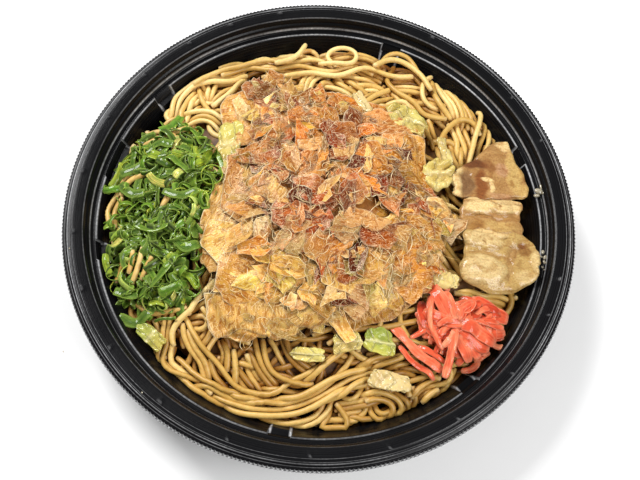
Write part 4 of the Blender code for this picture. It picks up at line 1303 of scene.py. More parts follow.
def add_shard(gather, x, y, tint, surface, rng):
    """One small angular flake with a thin painted highlight on its rim, bent along its length."""
    sides = rng.choice((3, 4, 4, 5))
    length = rng.uniform(2.2, 5.5) * MM if rng.uniform() < 0.55 else rng.uniform(5.5, 11.0) * MM
    angle = np.arange(sides) / sides * 2 * math.pi + rng.normal(0, 0.22, sides)
    local = np.stack([np.cos(angle), np.sin(angle) * rng.uniform(0.25, 0.75)], 1) * length * rng.uniform(0.75, 1.1, (sides, 1))
    turn = rng.uniform(0, 2 * math.pi)
    along, across = np.array((math.cos(turn), math.sin(turn))), np.array((-math.sin(turn), math.cos(turn)))
    loop = torn_outline(local, 0.06, rng)
    loop = loop - loop.mean(0)
    count = len(loop)
    reach = np.linalg.norm(loop, axis=1)
    near = np.clip(1 - 0.22 * MM / reach, 0.6, 0.95)[:, None]
    flat = np.concatenate([loop, loop * near, loop * 0.5, np.zeros((1, 2))])
    plan = (x, y) + flat[:, :1] * along + flat[:, 1:] * across
    ground = surface.at(plan[:, 0], plan[:, 1])
    lean, bend = rng.normal(0, 0.16, 2), rng.normal(0, 0.35)
    z = 0.5 * ground + 0.5 * ground.mean() + rng.uniform(-0.3, 1.3) * MM + flat @ lean + bend * np.abs(flat[:, 1])
    z = z + 0.15 * MM * rng.normal(size=len(z))
    middle = np.column_stack([plan, z])
    vertices = np.concatenate([middle + (0, 0, 0.04 * MM), middle - (0, 0, 0.04 * MM)])
    ring = np.arange(count)
    after = (ring + 1) % count
    quads = [np.stack([ring + k * count, after + k * count, after + (k + 1) * count, ring + (k + 1) * count], 1) for k in (0, 1)]
    fan = np.stack([ring + 2 * count, after + 2 * count, np.full(count, 3 * count)], 1)
    total = len(middle)
    side = np.stack([after, ring, ring + total, after + total], 1)
    tone = np.asarray(FLAKE_TINTS[tint]) * rng.normal(1.0, 0.07, 3) * rng.choice((0.55, 0.8, 1.0, 1.2))
    tones = np.clip(tone * centre_red(plan[:, 0], plan[:, 1]) * (1 + flat[:, :1] / length * rng.normal(0, 0.3)), 0, 1)
    grain = np.column_stack([flat / MM + rng.uniform(-90, 90, 2), 0 * z])
    # Painted highlight along the rim, at random strength.
    edge = np.concatenate([rng.uniform(0.3, 1.0, count), np.zeros(total - count)])
    gather.add(vertices, [*quads, *[q[:, ::-1] + total for q in quads], fan, fan[:, ::-1] + total, side],
               tint=np.tile(tones, (2, 1)), grain=np.tile(grain, (2, 1)), edge=np.tile(edge, 2), veil=rng.choice((0.2, 0.4, 0.75, 0.95)))


def add_shreds(gather, surface, rng):
    """Thin curved shreds that lie over the flakes."""
    section = np.array(((-1, -0.5), (0, 1), (1, -0.5)))
    placed = 0
    while placed < 460:
        x, y = rng.uniform(-56, 52) * MM, rng.uniform(-58, 64) * MM
        if not surface.flake.over(x, y):
            continue
        steps = int(rng.uniform(5, 11))
        headings = rng.uniform(0, 6.28) + rng.normal(0, 0.22) * np.arange(steps)
        plan = np.cumsum(np.stack([np.cos(headings), np.sin(headings)], 1), axis=0) * 0.9 * MM + (x, y)
        z = surface.at(plan[:, 0], plan[:, 1]) + rng.uniform(0.8, 2.8) * MM + drift(steps, 4, 0.5 * MM, rng)
        wide = np.interp(np.linspace(0, 1, steps), (0, 0.5, 1), (0.3, 1.0, 0.3)) * rng.uniform(0.10, 0.22) * MM
        ring = sweep(np.column_stack([plan, z]), section, np.stack([wide, 0.35 * wide], 1))
        quads, caps = tube_faces(steps, 3, 0)
        tips = np.column_stack([plan, z])[[0, -1]]
        vertices = np.concatenate([ring.reshape(-1, 3), tips])
        tone = np.asarray(FLAKE_TINTS[rng.choice(("cream", "pale", "tan"))])
        # The whole shred gets the painted rim highlight at random strength.
        gather.add(vertices, [quads, caps], tint=tone, grain=vertices / MM * (1, 1, 0), edge=rng.uniform(0.2, 0.9), veil=1.0)
        placed += 1


def make_flakes(surface):
    rng = np.random.default_rng(21)
    gather = Gather()
    middles, tints = [], []
    for tint, lift, height, corners in FLAKE_SHEETS:
        corners = np.array(corners) * MM
        size = np.ptp(corners, axis=0).max()
        count = int(np.clip(size / (1.1 * MM), 9, 30))
        lean = rng.uniform(0.0, 0.18) if lift > 0 else 0.0
        flake_sheet(gather, corners, tint, 0.55 * lift, 0.6 * height, count, surface, rng, 0.6 * lean)
        middles.append(corners.mean(0))
        tints.append(tint)
    middles = np.array(middles)
    placed = 0
    while placed < 440:
        x, y = rng.uniform(-60, 56) * MM, rng.uniform(-58, 66) * MM
        calm = any(math.hypot((x / MM - px) / wide, (y / MM - py) / deep) < 1 for px, py, wide, deep in CALM_SHEETS)
        if not surface.flake.over(x, y) or (calm and rng.uniform() < 0.8):
            continue
        nearest = np.argsort(np.hypot(middles[:, 0] - x, middles[:, 1] - y))[: 3]
        inner = math.hypot((x / MM - 2) / 36, (y / MM - 12) / 40) < 1
        others = ("red", "orange", "brown", "tan", "dark", "pink") if inner else ("cream", "pale", "tan", "cream", "yellow")
        tint = tints[rng.choice(nearest)] if rng.uniform() < 0.6 else rng.choice(others)
        add_shard(gather, x, y, tint, surface, rng)
        placed += 1
    add_shreds(gather, surface, rng)
    item = gather.build("flake_pieces", flake_material())
    place_piece(item, "fish_flake", "bonito_flakes")


def flake_material():
    material, nodes, links, shader = new_material("flake_skin", 0.32)
    tint = add_attribute(nodes, "tint").outputs["Color"]
    grain = add_attribute(nodes, "grain").outputs["Vector"]
    fibre = add_stretched_noise(nodes, links, grain, (0.10, 1.5, 1.0), 3.0, 0.6)
    folds = add_stretched_noise(nodes, links, grain, (0.22, 0.42, 1.0), 3.0, 1.6)
    speck = add_stretched_noise(nodes, links, grain, (1.3, 2.2, 1.0), 2.0, 0.5)
    stripes = add_ramp(nodes, links, fibre, ((0.32, (0.62, 0.38, 0.18)), (0.48, (0.92, 0.82, 0.68)), (0.64, (1.12, 1.22, 1.35))))
    colour = add_mix(nodes, links, 0.5, tint, stripes, "MULTIPLY")
    patches = add_ramp(nodes, links, folds, ((0.30, (0.55, 0.26, 0.09)), (0.5, (0.98, 0.90, 0.80)), (0.7, (1.30, 1.50, 1.90))))
    colour = add_mix(nodes, links, 0.8, colour, patches, "MULTIPLY")
    # Painted highlights: thin cream lines along the folds.
    middle = add_maths(nodes, links, "ABSOLUTE", add_maths(nodes, links, "SUBTRACT", folds, 0.5), 0.0)
    lines = add_maths(nodes, links, "MULTIPLY_ADD", middle, -40.0)
    lines.node.inputs[2].default_value = 1.0
    lines.node.use_clamp = True
    colour = add_mix(nodes, links, add_maths(nodes, links, "MULTIPLY", lines, 0.5), colour, (0.96, 0.78, 0.45))
    # Painted highlights: small cream spots scattered over the flakes.
    spots = add_ramp(nodes, links, speck, ((0.60, (0.0, 0.0, 0.0)), (0.66, (1.0, 1.0, 1.0))))
    colour = add_mix(nodes, links, add_maths(nodes, links, "MULTIPLY", spots, 0.4), colour, (1.0, 0.86, 0.60))
    # Painted highlight: the cream line along each rim.
    edge = add_attribute(nodes, "edge").outputs["Fac"]
    colour = add_mix(nodes, links, add_maths(nodes, links, "MULTIPLY", edge, 0.85), colour, (1.0, 0.90, 0.62))
    links.new(colour, shader.inputs["Base Color"])
    firm = add_maths(nodes, links, "MULTIPLY_ADD", add_maths(nodes, links, "MAXIMUM", edge, lines), 0.5)
    links.new(add_attribute(nodes, "veil").outputs["Fac"], firm.node.inputs[2])
    firm.node.use_clamp = True
    links.new(firm, shader.inputs["Alpha"])
    shader.inputs["Specular Tint"].default_value = (1.0, 0.74, 0.40, 1.0)
    shader.inputs["Coat Weight"].default_value = 0.12
    shader.inputs["Coat Roughness"].default_value = 0.14
    height = add_maths(nodes, links, "MULTIPLY_ADD", speck, 0.35)
    links.new(folds, height.node.inputs[2])
    add_bump(nodes, links, shader, height, 0.6, 0.0005)
    return material


# ---------------------------------------------------------------- scallions

SCALLION_TINTS = {
    "deep": (0.005, 0.022, 0.0005), "leaf": (0.016, 0.062, 0.001), "fresh": (0.075, 0.175, 0.003),
    "lime": (0.34, 0.42, 0.020), "pale": (0.66, 0.60, 0.16),
}
# Plan places in mm where the noodles show through
SCALLION_GAPS = ((-69, 33), (-64, 28), (-79, 11), (-86, -4), (-77, -28), (-70, -30), (-85, 3), (-62, -1))
# Tint, lift in mm, lean in degrees, outer radius, width along the axis, turn of the curl in degrees, place in plan mm
SCALLION_RINGS = (
    ("lime", 5.0, 12, 4.7, 2.2, 360, (-45, 10)), ("fresh", 3.0, 50, 3.2, 2.5, 330, (-79, -4)),
    ("fresh", 3.0, 30, 2.8, 2.0, 360, (-70, -5)), ("leaf", 4.0, 35, 4.0, 2.6, 300, (-62, -40)),
    ("leaf", 3.5, 20, 3.4, 2.4, 280, (-57, 31)), ("leaf", 3.0, 60, 4.2, 3.0, 270, (-66, 29)),
    ("fresh", 3.0, 65, 3.0, 3.4, 320, (-52, -12)), ("leaf", 3.5, 25, 4.6, 2.2, 250, (-72, 14)),
    ("deep", 3.0, 40, 5.0, 3.0, 230, (-75, -44)), ("leaf", 3.2, 55, 3.6, 3.2, 340, (-83, -20)),
)
# Tint, lift in mm, width in mm, places in plan mm
SCALLION_STRIPS = (
    ("fresh", 4.5, 3.4, ((-64.5, 18.5), (-60, 15.6), (-54, 10.5))), ("fresh", 3.0, 6.0, ((-42, 22), (-40, 16), (-41, 11))),
    ("leaf", 3.5, 4.0, ((-80, -38), (-70, -40), (-62, -34), (-56, -26))), ("deep", 3.0, 4.4, ((-77, -48), (-70, -50), (-63, -44))),
    ("lime", 3.5, 2.6, ((-56, -31), (-50, -33), (-46, -37))), ("fresh", 3.0, 3.0, ((-62, 40), (-56, 34), (-51, 26))),
    ("lime", 3.0, 2.6, ((-86, -22), (-85, -27), (-82, -32))), ("fresh", 3.0, 2.6, ((-68, -28), (-65, -32), (-62, -36))),
    ("leaf", 4.0, 4.0, ((-60, 24), (-53, 22), (-47, 24))), ("leaf", 4.0, 3.6, ((-76, 22), (-70, 26), (-63, 25))),
    ("deep", 3.6, 4.0, ((-84, 8), (-78, 2), (-72, 2))), ("leaf", 4.2, 3.6, ((-64, 2), (-57, 0), (-50, 3))),
    ("fresh", 4.0, 2.8, ((-74, -12), (-67, -15), (-60, -13))), ("leaf", 3.6, 4.2, ((-57, -18), (-52, -22), (-47, -20))),
)


def strip_section():
    """A thin flat band with rounded edges: across is the first number."""
    return np.array(((-1, 0), (-0.92, 0.9), (0, 1), (0.92, 0.9), (1, 0), (0.92, -0.9), (0, -1), (-0.92, -0.9)))


def add_band(gather, path, turn, thick, wide, tint, rng):
    """A closed band along a path. Its width stands at the angle turn from the path's own side."""
    section = strip_section() * (0.5 * wide, 0.5 * thick)
    turned = np.stack([section[:, 0] * math.cos(turn) - section[:, 1] * math.sin(turn),
                       section[:, 0] * math.sin(turn) + section[:, 1] * math.cos(turn)], 1)
    count = len(path)
    sizes = (1 + drift(count, 5, 0.06, rng)) * np.interp(np.arange(count), (0, 1, count - 2, count - 1), (0.85, 1, 1, 0.85))
    ring = sweep(path, turned, sizes)
    quads, caps = tube_faces(count, len(section), 0)
    tangent = path[[1, -1]] - path[[0, -2]]
    tangent /= np.linalg.norm(tangent, axis=1, keepdims=True) + 1e-9
    ends = path[[0, -1]] + tangent * np.array([[-0.1], [0.1]]) * MM
    rim = np.tile((1, 0.8, 0, 0.8, 1, 0.8, 0, 0.8), count).reshape(count, -1)
    rim[0] = rim[-1] = 1
    inner = np.tile((0.5, 1, 1, 1, 0.5, 0, 0, 0), count)
    tone = np.asarray(SCALLION_TINTS[tint]) * rng.normal(1.0, 0.10, 3).clip(0.7, 1.3)
    along = np.repeat(np.arange(count) * 0.9, len(section)) + rng.uniform(0, 80)
    across = np.tile(section[:, 0] / MM, count) + rng.uniform(0, 80)
    gather.add(np.concatenate([ring.reshape(-1, 3), ends]), [quads, caps], tint=np.clip(tone, 0, 1),
               along=np.concatenate([along, along[[0, -1]]]), across=np.concatenate([across, across[[0, -1]]]),
               rim=np.concatenate([rim.ravel(), (1, 1)]), inner=np.concatenate([inner, (0.5, 0.5)]))


def add_ring(gather, place, radius, width, sweep_angle, lean, tint, rng):
    """A slice of a hollow leaf: a full ring or an open curl, leaning some way."""
    count = max(8, int(26 * sweep_angle / 360))
    angle = np.linspace(0, math.radians(sweep_angle), count) + rng.uniform(0, 6.28)
    squash = rng.uniform(0.55, 1.0)
    opening = 1 + (0.0 if sweep_angle > 350 else rng.uniform(0.1, 0.6)) * np.linspace(0, 1, count)
    path = np.stack([radius * opening * np.cos(angle), radius * squash * opening * np.sin(angle),
                     drift(count, 8, 0.12 * radius, rng)], 1)
    heading, tip = rng.uniform(0, 6.28), lean
    turn_x = np.array(((1, 0, 0), (0, math.cos(tip), -math.sin(tip)), (0, math.sin(tip), math.cos(tip))))
    turn_z = np.array(((math.cos(heading), -math.sin(heading), 0), (math.sin(heading), math.cos(heading), 0), (0, 0, 1)))
    local = Gather()
    add_band(local, path, math.pi / 2, rng.uniform(0.25, 0.42) * MM, width, tint, rng)
    vertices = local.vertices[0] @ (turn_z @ turn_x).T + place
    gather.add(vertices, local.faces, **{key: value[0] for key, value in local.values.items()})


def make_scallions(top, ground):
    rng = np.random.default_rng(5)
    gather = Gather()
    for tint, lift, lean, radius, width, turn, (x, y) in SCALLION_RINGS:
        place = np.array((x * MM, y * MM, float(ground.at(x * MM, y * MM)) + (lift - 2.0) * MM))
        add_ring(gather, place, radius * MM - 0.3 * MM, width * MM, turn, math.radians(lean), tint, rng)
    for tint, lift, width, places in SCALLION_STRIPS:
        plan = smooth_curve(np.array(places) * MM, 0.9 * MM)
        z = ground.at(plan[:, 0], plan[:, 1]) + (lift - 2.0) * MM + drift(len(plan), 5, 0.5 * MM, rng)
        add_band(gather, np.column_stack([plan, z]), rng.normal(0, 0.4), 0.4 * MM, width * MM, tint, rng)
    placed = 0
    while placed < 520:
        x, y = rng.uniform(-92, -38) * MM, rng.uniform(-50, 48) * MM
        stray = 3.5 * MM
        if not (top.over(x, y) or (placed % 6 == 0 and top.over(x + rng.uniform(0, 1) * stray, y + rng.normal(0, 1) * stray))):
            continue
        if math.hypot(x, y) > 88 * MM or min(math.hypot(x / MM - a, y / MM - b) for a, b in SCALLION_GAPS) < 3.6:
            continue
        layer = rng.uniform(-3.6, 1.2) * MM
        z = float(ground.at(x, y)) + layer
        tint = rng.choice(("deep", "leaf", "fresh", "lime", "pale"), p=(0.28, 0.26, 0.26, 0.14, 0.06))
        if rng.uniform() < 0.36:
            radius = rng.uniform(1.6, 4.2) * MM
            turn = rng.choice((360, 300, 230, 160), p=(0.25, 0.25, 0.3, 0.2))
            add_ring(gather, np.array((x, y, z)), radius, rng.uniform(1.2, 3.4) * MM, turn, rng.uniform(0.1, 1.5), tint, rng)
        else:
            heading, bend = rng.uniform(0, 6.28), rng.normal(0, 0.10)
            steps = int(rng.uniform(7, 17))
            headings = heading + bend * np.arange(steps)
            plan = np.cumsum(np.stack([np.cos(headings), np.sin(headings)], 1), axis=0) * 0.9 * MM
            plan += np.array((x, y)) - plan.mean(0)
            if np.hypot(*plan.T).max() > 89 * MM:
                continue
            slope = rng.normal(0, 0.25) * (np.arange(steps) - steps / 2) * 0.9 * MM
            z = 0.5 * ground.at(plan[:, 0], plan[:, 1]) + 0.5 * z + slope + 0.5 * layer
            z += drift(steps, 5, 0.4 * MM, rng)
            add_band(gather, np.column_stack([plan, z]), rng.normal(0, 0.8), rng.uniform(0.25, 0.45) * MM,
                     rng.uniform(0.9, 4.2) * MM, tint, rng)
        placed += 1
    item = gather.build("scallion_pieces", scallion_material())
    place_piece(item, "scallion", "scallions")


def scallion_material():
    material, nodes, links, shader = new_material("scallion_leaf", 0.25)
    tint = add_attribute(nodes, "tint").outputs["Color"]
    rim = add_attribute(nodes, "rim").outputs["Fac"]
    inner = add_attribute(nodes, "inner").outputs["Fac"]
    noise = add_noise(nodes, links, 260.0, 4.0, 0.4)
    mottle = add_ramp(nodes, links, noise, ((0.30, (0.45, 0.55, 0.40)), (0.55, (1.0, 1.0, 1.0)), (0.72, (1.5, 1.3, 1.4))))
    colour = add_mix(nodes, links, 0.8, tint, mottle, "MULTIPLY")
    joined = nodes.new("ShaderNodeCombineXYZ")
    links.new(add_maths(nodes, links, "MULTIPLY", add_attribute(nodes, "along").outputs["Fac"], 0.15), joined.inputs["X"])
    links.new(add_maths(nodes, links, "MULTIPLY", add_attribute(nodes, "across").outputs["Fac"], 2.6), joined.inputs["Y"])
    veins = nodes.new("ShaderNodeTexNoise")
    veins.inputs["Scale"].default_value = 1.0
    veins.inputs["Detail"].default_value = 3.0
    links.new(joined.outputs["Vector"], veins.inputs["Vector"])
    stripe = add_ramp(nodes, links, veins.outputs["Fac"], ((0.35, (0.42, 0.50, 0.4)), (0.52, (1.0, 1.0, 1.0)), (0.66, (2.6, 2.0, 2.2))))
    colour = add_mix(nodes, links, 0.75, colour, stripe, "MULTIPLY")
    colour = add_mix(nodes, links, add_maths(nodes, links, "MULTIPLY", inner, 0.35), colour, (0.12, 0.26, 0.02))
    colour = add_mix(nodes, links, add_maths(nodes, links, "MULTIPLY", rim, 0.5), colour, (0.36, 0.50, 0.07))
    links.new(colour, shader.inputs["Base Color"])
    links.new(add_maths(nodes, links, "MULTIPLY_ADD", noise, 0.35), shader.inputs["Roughness"])
    make_translucent(shader, 0.15, (0.35, 0.8, 0.15), 0.0010)
    shader.inputs["Specular Tint"].default_value = (0.9, 1.0, 0.55, 1.0)
    shader.inputs["Coat Weight"].default_value = 0.5
    shader.inputs["Coat Roughness"].default_value = 0.12
    add_bump(nodes, links, shader, add_maths(nodes, links, "ADD", noise, veins.outputs["Fac"]), 0.9, 0.0008)
    return material


# ---------------------------------------------------------------- pickled ginger

# Redness, lift in mm, width in mm, places in plan mm
GINGER_STRIPS = (
    (0.65, 1.6, 6.5, ((62, -34), (67, -36), (72, -39), (77, -40))), (0.25, 2.6, 3.0, ((55, -38), (60, -36), (62, -37), (60, -40), (56, -40))),
    (0.40, 3.2, 5.5, ((44, -30), (46, -32), (49, -37), (53, -43))), (0.35, 3.4, 3.0, ((51, -32), (53, -37), (55, -44))),
    (0.30, 3.2, 2.0, ((46, -34), (45, -39), (45, -46), (47, -51), (50, -56))), (0.35, 3.0, 2.4, ((48, -47), (51, -45), (55, -44))),
    (0.55, 2.6, 5.5, ((57, -45), (63, -47), (68, -50), (71, -51))), (0.60, 2.0, 5.0, ((57, -47), (61, -50), (65, -53), (69, -53))),
    (0.25, 3.4, 3.4, ((55, -47), (54, -53), (53, -60), (51.6, -66))), (0.40, 2.6, 5.0, ((56, -50), (59, -55), (61, -59))),
    (0.50, 2.2, 4.4, ((58, -49), (62, -54), (65, -57))), (0.30, 2.4, 3.8, ((30, -47), (36, -52), (41, -57), (46, -60), (51, -63))),
    (0.40, 1.6, 2.4, ((34, -54), (39, -60), (45, -63), (48, -66))), (0.60, 1.6, 2.2, ((41, -54), (47, -57), (52, -60))),
    (0.10, 2.4, 1.8, ((65, -47), (68, -48), (72, -46))), (0.00, 2.4, 2.8, ((71, -50), (74, -51), (78, -50))),
    (0.00, 3.9, 3.0, ((50, -55), (53, -52), (54, -49))), (0.25, 1.8, 3.0, ((64, -57), (67, -55), (70, -53))),
    (0.25, 1.6, 3.2, ((59, -61), (63, -60), (66, -57))), (0.95, 1.4, 4.0, ((42, -37), (42, -42), (44, -48))),
    (0.30, 2.8, 3.0, ((46, -30), (50, -29), (53, -31))), (0.45, 2.8, 2.6, ((53, -45), (50, -49), (48, -52))),
    (0.40, 3.4, 3.0, ((55, -43), (58, -39), (62, -36))), (1.00, 1.0, 5.5, ((47, -41), (49, -44), (53, -45))),
    (0.40, 3.6, 2.6, ((56, -44), (57, -42), (55, -37))), (0.35, 2.2, 2.6, ((57, -42), (63, -43), (69, -44))),
)


def make_ginger(top, ground):
    rng = np.random.default_rng(8)
    gather = Gather()
    strips = [(red, lift, width, smooth_curve(np.array(places) * MM, 0.9 * MM)) for red, lift, width, places in GINGER_STRIPS]
    while len(strips) < 70:
        x, y = rng.uniform(36, 76) * MM, rng.uniform(-62, -28) * MM
        if not top.over(x, y):
            continue
        heading = math.atan2(y + 44 * MM, x - 55 * MM) + rng.normal(0, 0.5)
        steps = int(rng.uniform(11, 22))
        headings = heading + np.cumsum(drift(steps, 6, 0.08, rng))
        plan = np.cumsum(np.stack([np.cos(headings), np.sin(headings)], 1), axis=0) * 0.9 * MM
        plan += np.array((x, y)) - plan.mean(0)
        if not np.all(top.over(plan[:, 0], plan[:, 1])):
            continue
        strips.append((rng.uniform(0.3, 1.0), rng.uniform(0.2, 2.2), rng.uniform(1.8, 4.2), plan))
    turn = np.arange(14) / 14 * 2 * math.pi
    flat = np.stack([np.sign(np.cos(turn)) * np.abs(np.cos(turn)) ** 0.6, np.sign(np.sin(turn)) * np.abs(np.sin(turn)) ** 0.8], 1)
    for red, lift, width, plan in strips:
        count = len(plan)
        z = ground.at(plan[:, 0], plan[:, 1])
        z = 0.5 * z + 0.5 * z.max() + (lift - 2.6) * MM + drift(count, 7, 0.4 * MM, rng)
        ends = np.minimum(np.arange(count), np.arange(count)[::-1])
        z -= 0.8 * MM * np.clip(1 - ends / 4, 0, 1)
        section = flat - np.outer(flat[:, 0] ** 2, (0, rng.uniform(-0.4, 1.2)))
        thick = rng.uniform(0.45, 0.8) if width > 2.2 else 0.9
        size = (1 + drift(count, 7, 0.07, rng))[:, None] * (0.5 * width * MM, 0.5 * thick * MM)
        size[:, 0] *= np.interp(ends, (0, 1, 3), (0.62, 0.84, 1.0))
        lean = rng.normal(0, 0.16)
        section = section @ np.array(((math.cos(lean), 0), (0, 1)))
        z = z + 0 * lean
        path = np.column_stack([plan, z])
        ring = sweep(path, section, size)
        ring[..., 2] += math.tan(lean) * (section[None, :, 0] * size[:, 0:1])
        quads, caps = tube_faces(count, len(section), 0)
        tips = path[[0, -1]] + (path[[0, -1]] - path[[1, -2]]) * 0.25
        around = len(section)
        along = np.concatenate([np.repeat(np.arange(count) * 0.9, around), (0, count * 0.9)]) + rng.uniform(0, 60)
        across = np.concatenate([np.tile(flat[:, 0] * 0.5 * width, count), (0, 0)]) + rng.uniform(0, 60)
        rim = np.concatenate([np.tile(np.clip(np.abs(flat[:, 0]) * 4 - 3, 0, 1), count), (1, 1)])
        rim = np.maximum(rim, np.concatenate([np.repeat(np.clip(1 - ends / 2, 0, 1), around), (1, 1)]))
        gather.add(np.concatenate([ring.reshape(-1, 3), tips]), [quads, caps], red=float(red), along=along, across=across, rim=rim)
    item = gather.build("ginger_strips", ginger_material())
    place_piece(item, "ginger", "red_ginger")


def ginger_material():
    material, nodes, links, shader = new_material("ginger_flesh", 0.26)
    red, rim, along, across = (add_attribute(nodes, key).outputs["Fac"] for key in ("red", "rim", "along", "across"))
    joined = nodes.new("ShaderNodeCombineXYZ")
    links.new(along, joined.inputs["X"])
    links.new(across, joined.inputs["Y"])
    fibre = add_stretched_noise(nodes, links, joined.outputs["Vector"], (0.06, 1.3, 1.0), 3.0, 0.2)
    blots = add_stretched_noise(nodes, links, joined.outputs["Vector"], (0.16, 0.35, 1.0), 3.0, 0.8)
    mixed = add_maths(nodes, links, "MULTIPLY_ADD", blots, 0.7)
    links.new(add_maths(nodes, links, "MULTIPLY", red, 0.6), mixed.node.inputs[2])
    stops = ((0.26, (0.90, 0.34, 0.17)), (0.48, (0.82, 0.175, 0.080)), (0.70, (0.66, 0.085, 0.030)), (0.95, (0.46, 0.034, 0.008)))
    colour = add_ramp(nodes, links, mixed, stops)
    stripes = add_ramp(nodes, links, fibre, ((0.32, (0.72, 0.50, 0.45)), (0.50, (1.0, 1.0, 1.0)), (0.68, (1.15, 1.55, 1.7))))
    colour = add_mix(nodes, links, 0.75, colour, stripes, "MULTIPLY")
    colour = add_mix(nodes, links, add_maths(nodes, links, "MULTIPLY", rim, 0.35), colour, (0.92, 0.46, 0.28))
    links.new(colour, shader.inputs["Base Color"])
    links.new(add_maths(nodes, links, "MULTIPLY_ADD", fibre, 0.4), shader.inputs["Roughness"])
    make_translucent(shader, 0.35, (1.0, 0.30, 0.16), 0.0010)
    shader.inputs["Specular Tint"].default_value = (1.0, 0.6, 0.45, 1.0)
    shader.inputs["Coat Weight"].default_value = 0.4
    shader.inputs["Coat Roughness"].default_value = 0.1
    add_bump(nodes, links, shader, fibre, 0.4, 0.0004)
    return material


# ---------------------------------------------------------------- pork and cabbage


def loft(near, far, rows, columns):
    """Plan grid between a near and a far edge, both from left to right: rows run across, columns along."""
    edges = []
    for places in (near, far):
        curve = smooth_curve(np.array(places) * MM, 0.5 * MM)
        picks = np.linspace(0, len(curve) - 1, columns)
        edges.append(np.stack([np.interp(picks, np.arange(len(curve)), curve[:, k]) for k in range(2)], 1))
    share = np.linspace(0, 1, rows)[:, None, None]
    return edges[0][None] * (1 - share) + edges[1][None] * share


PORK_TINTS = {
    "meat": (0.40, 0.215, 0.070), "cream": (0.74, 0.54, 0.245), "gold": (0.54, 0.35, 0.115), "brown": (0.32, 0.155, 0.036),
    "red": (0.22, 0.066, 0.012), "grey": (0.21, 0.105, 0.040), "dark": (0.14, 0.040, 0.008), "pink": (0.48, 0.26, 0.13),
}
# Near edge and far edge in plan mm, lift in mm, tint, and patches: tint, middle and half sizes in plan mm, rise in mm, strength
PORK_SHEETS = {
    "pork_slice_1": (((53.6, 10), (60, 9), (70, 10), (80, 11.4), (88.6, 12.4)),
                     ((54.4, 20), (60, 26.5), (66, 32.5), (71, 37.5), (79, 42)), 0.6, "meat", (
        ("cream", 56.0, 16.5, 3.0, 8.0, 0.8, 1.0), ("grey", 60.3, 16.6, 3.4, 6.2, -0.9, 1.0), ("red", 66.4, 16.0, 2.6, 8.0, -0.3, 1.0),
        # The cream patches at (69.3, 19.2) and (70.6, 16.0) are painted highlights.
        ("dark", 63.2, 26.4, 6.5, 2.6, -0.5, 1.0), ("red", 70.0, 26.0, 3.0, 3.0, -0.2, 0.6), ("cream", 69.3, 19.2, 2.4, 0.7, 0.3, 0.9),
        ("cream", 70.6, 16.0, 0.6, 3.0, 0.3, 0.9), ("pink", 75.4, 25.1, 3.0, 3.2, 0.4, 0.9), ("pink", 75.0, 12.2, 5.0, 1.6, 0.2, 0.7),
        ("gold", 81.0, 26.0, 3.5, 12.0, 0.4, 1.0), ("cream", 78.0, 39.0, 4.0, 4.0, 0.5, 0.8), ("gold", 86.0, 15.0, 3.5, 5.0, 0.3, 1.0),
        ("cream", 87.5, 13.0, 1.6, 3.0, 0.2, 0.8), ("brown", 80.0, 18.5, 1.0, 2.0, -0.2, 0.7))),
    "pork_slice_2": (((57.5, -7.5), (66, -7), (75, -8), (83.0, -6)),
                     ((57.4, 8.4), (64, 9.6), (75, 10.2), (83.4, 10.6)), 1.4, "meat", (
        ("cream", 65.0, 5.6, 6.0, 3.0, 0.9, 1.0), ("cream", 75.0, 6.4, 8.0, 2.2, 0.8, 0.9), ("brown", 67.0, 1.0, 8.0, 1.2, -0.5, 0.7),
        ("brown", 79.0, 1.6, 4.0, 1.6, -0.4, 0.6), ("gold", 73.0, -2.6, 8.0, 2.2, 0.4, 0.7), ("brown", 63.4, -3.2, 3.4, 2.6, -0.2, 1.0),
        ("cream", 70.0, -6.6, 13.0, 1.4, 0.5, 0.8), ("pink", 84.0, 4.0, 1.4, 6.0, -0.4, 1.0), ("brown", 73.0, 6.6, 0.8, 0.7, -0.2, 0.9),
        ("cream", 70.0, 9.2, 13.0, 0.7, 0.5, 0.7), ("brown", 70.0, 7.7, 12.0, 0.5, -0.3, 0.45))),
    "pork_slice_3": (((57, -28.0), (65, -29.4), (75, -30.4), (83, -28), (90.4, -22)),
                     ((58.6, -4.5), (66, -4), (74, -2), (81, -3.5), (89.6, -8)), 1.4, "gold", (
        ("cream", 66.0, -9.0, 8.0, 3.0, 1.0, 1.0), ("cream", 66.5, -22.0, 9.0, 5.6, 1.4, 1.0), ("meat", 68.0, -14.8, 8.0, 1.6, -0.6, 0.6),
        ("meat", 77.2, -17.0, 1.6, 9.0, -0.5, 0.6), ("brown", 83.3, -11.0, 3.2, 3.0, -0.4, 1.0), ("red", 82.6, -9.6, 1.6, 1.2, -0.2, 0.7),
        ("meat", 79.0, -14.0, 2.0, 4.0, -0.6, 0.8), ("cream", 88.6, -15.5, 1.8, 5.0, 0.8, 0.8), ("cream", 85.0, -23.0, 5.0, 3.0, 0.4, 0.6),
        ("brown", 66.4, -10.4, 0.9, 0.7, -0.2, 0.9))),
}


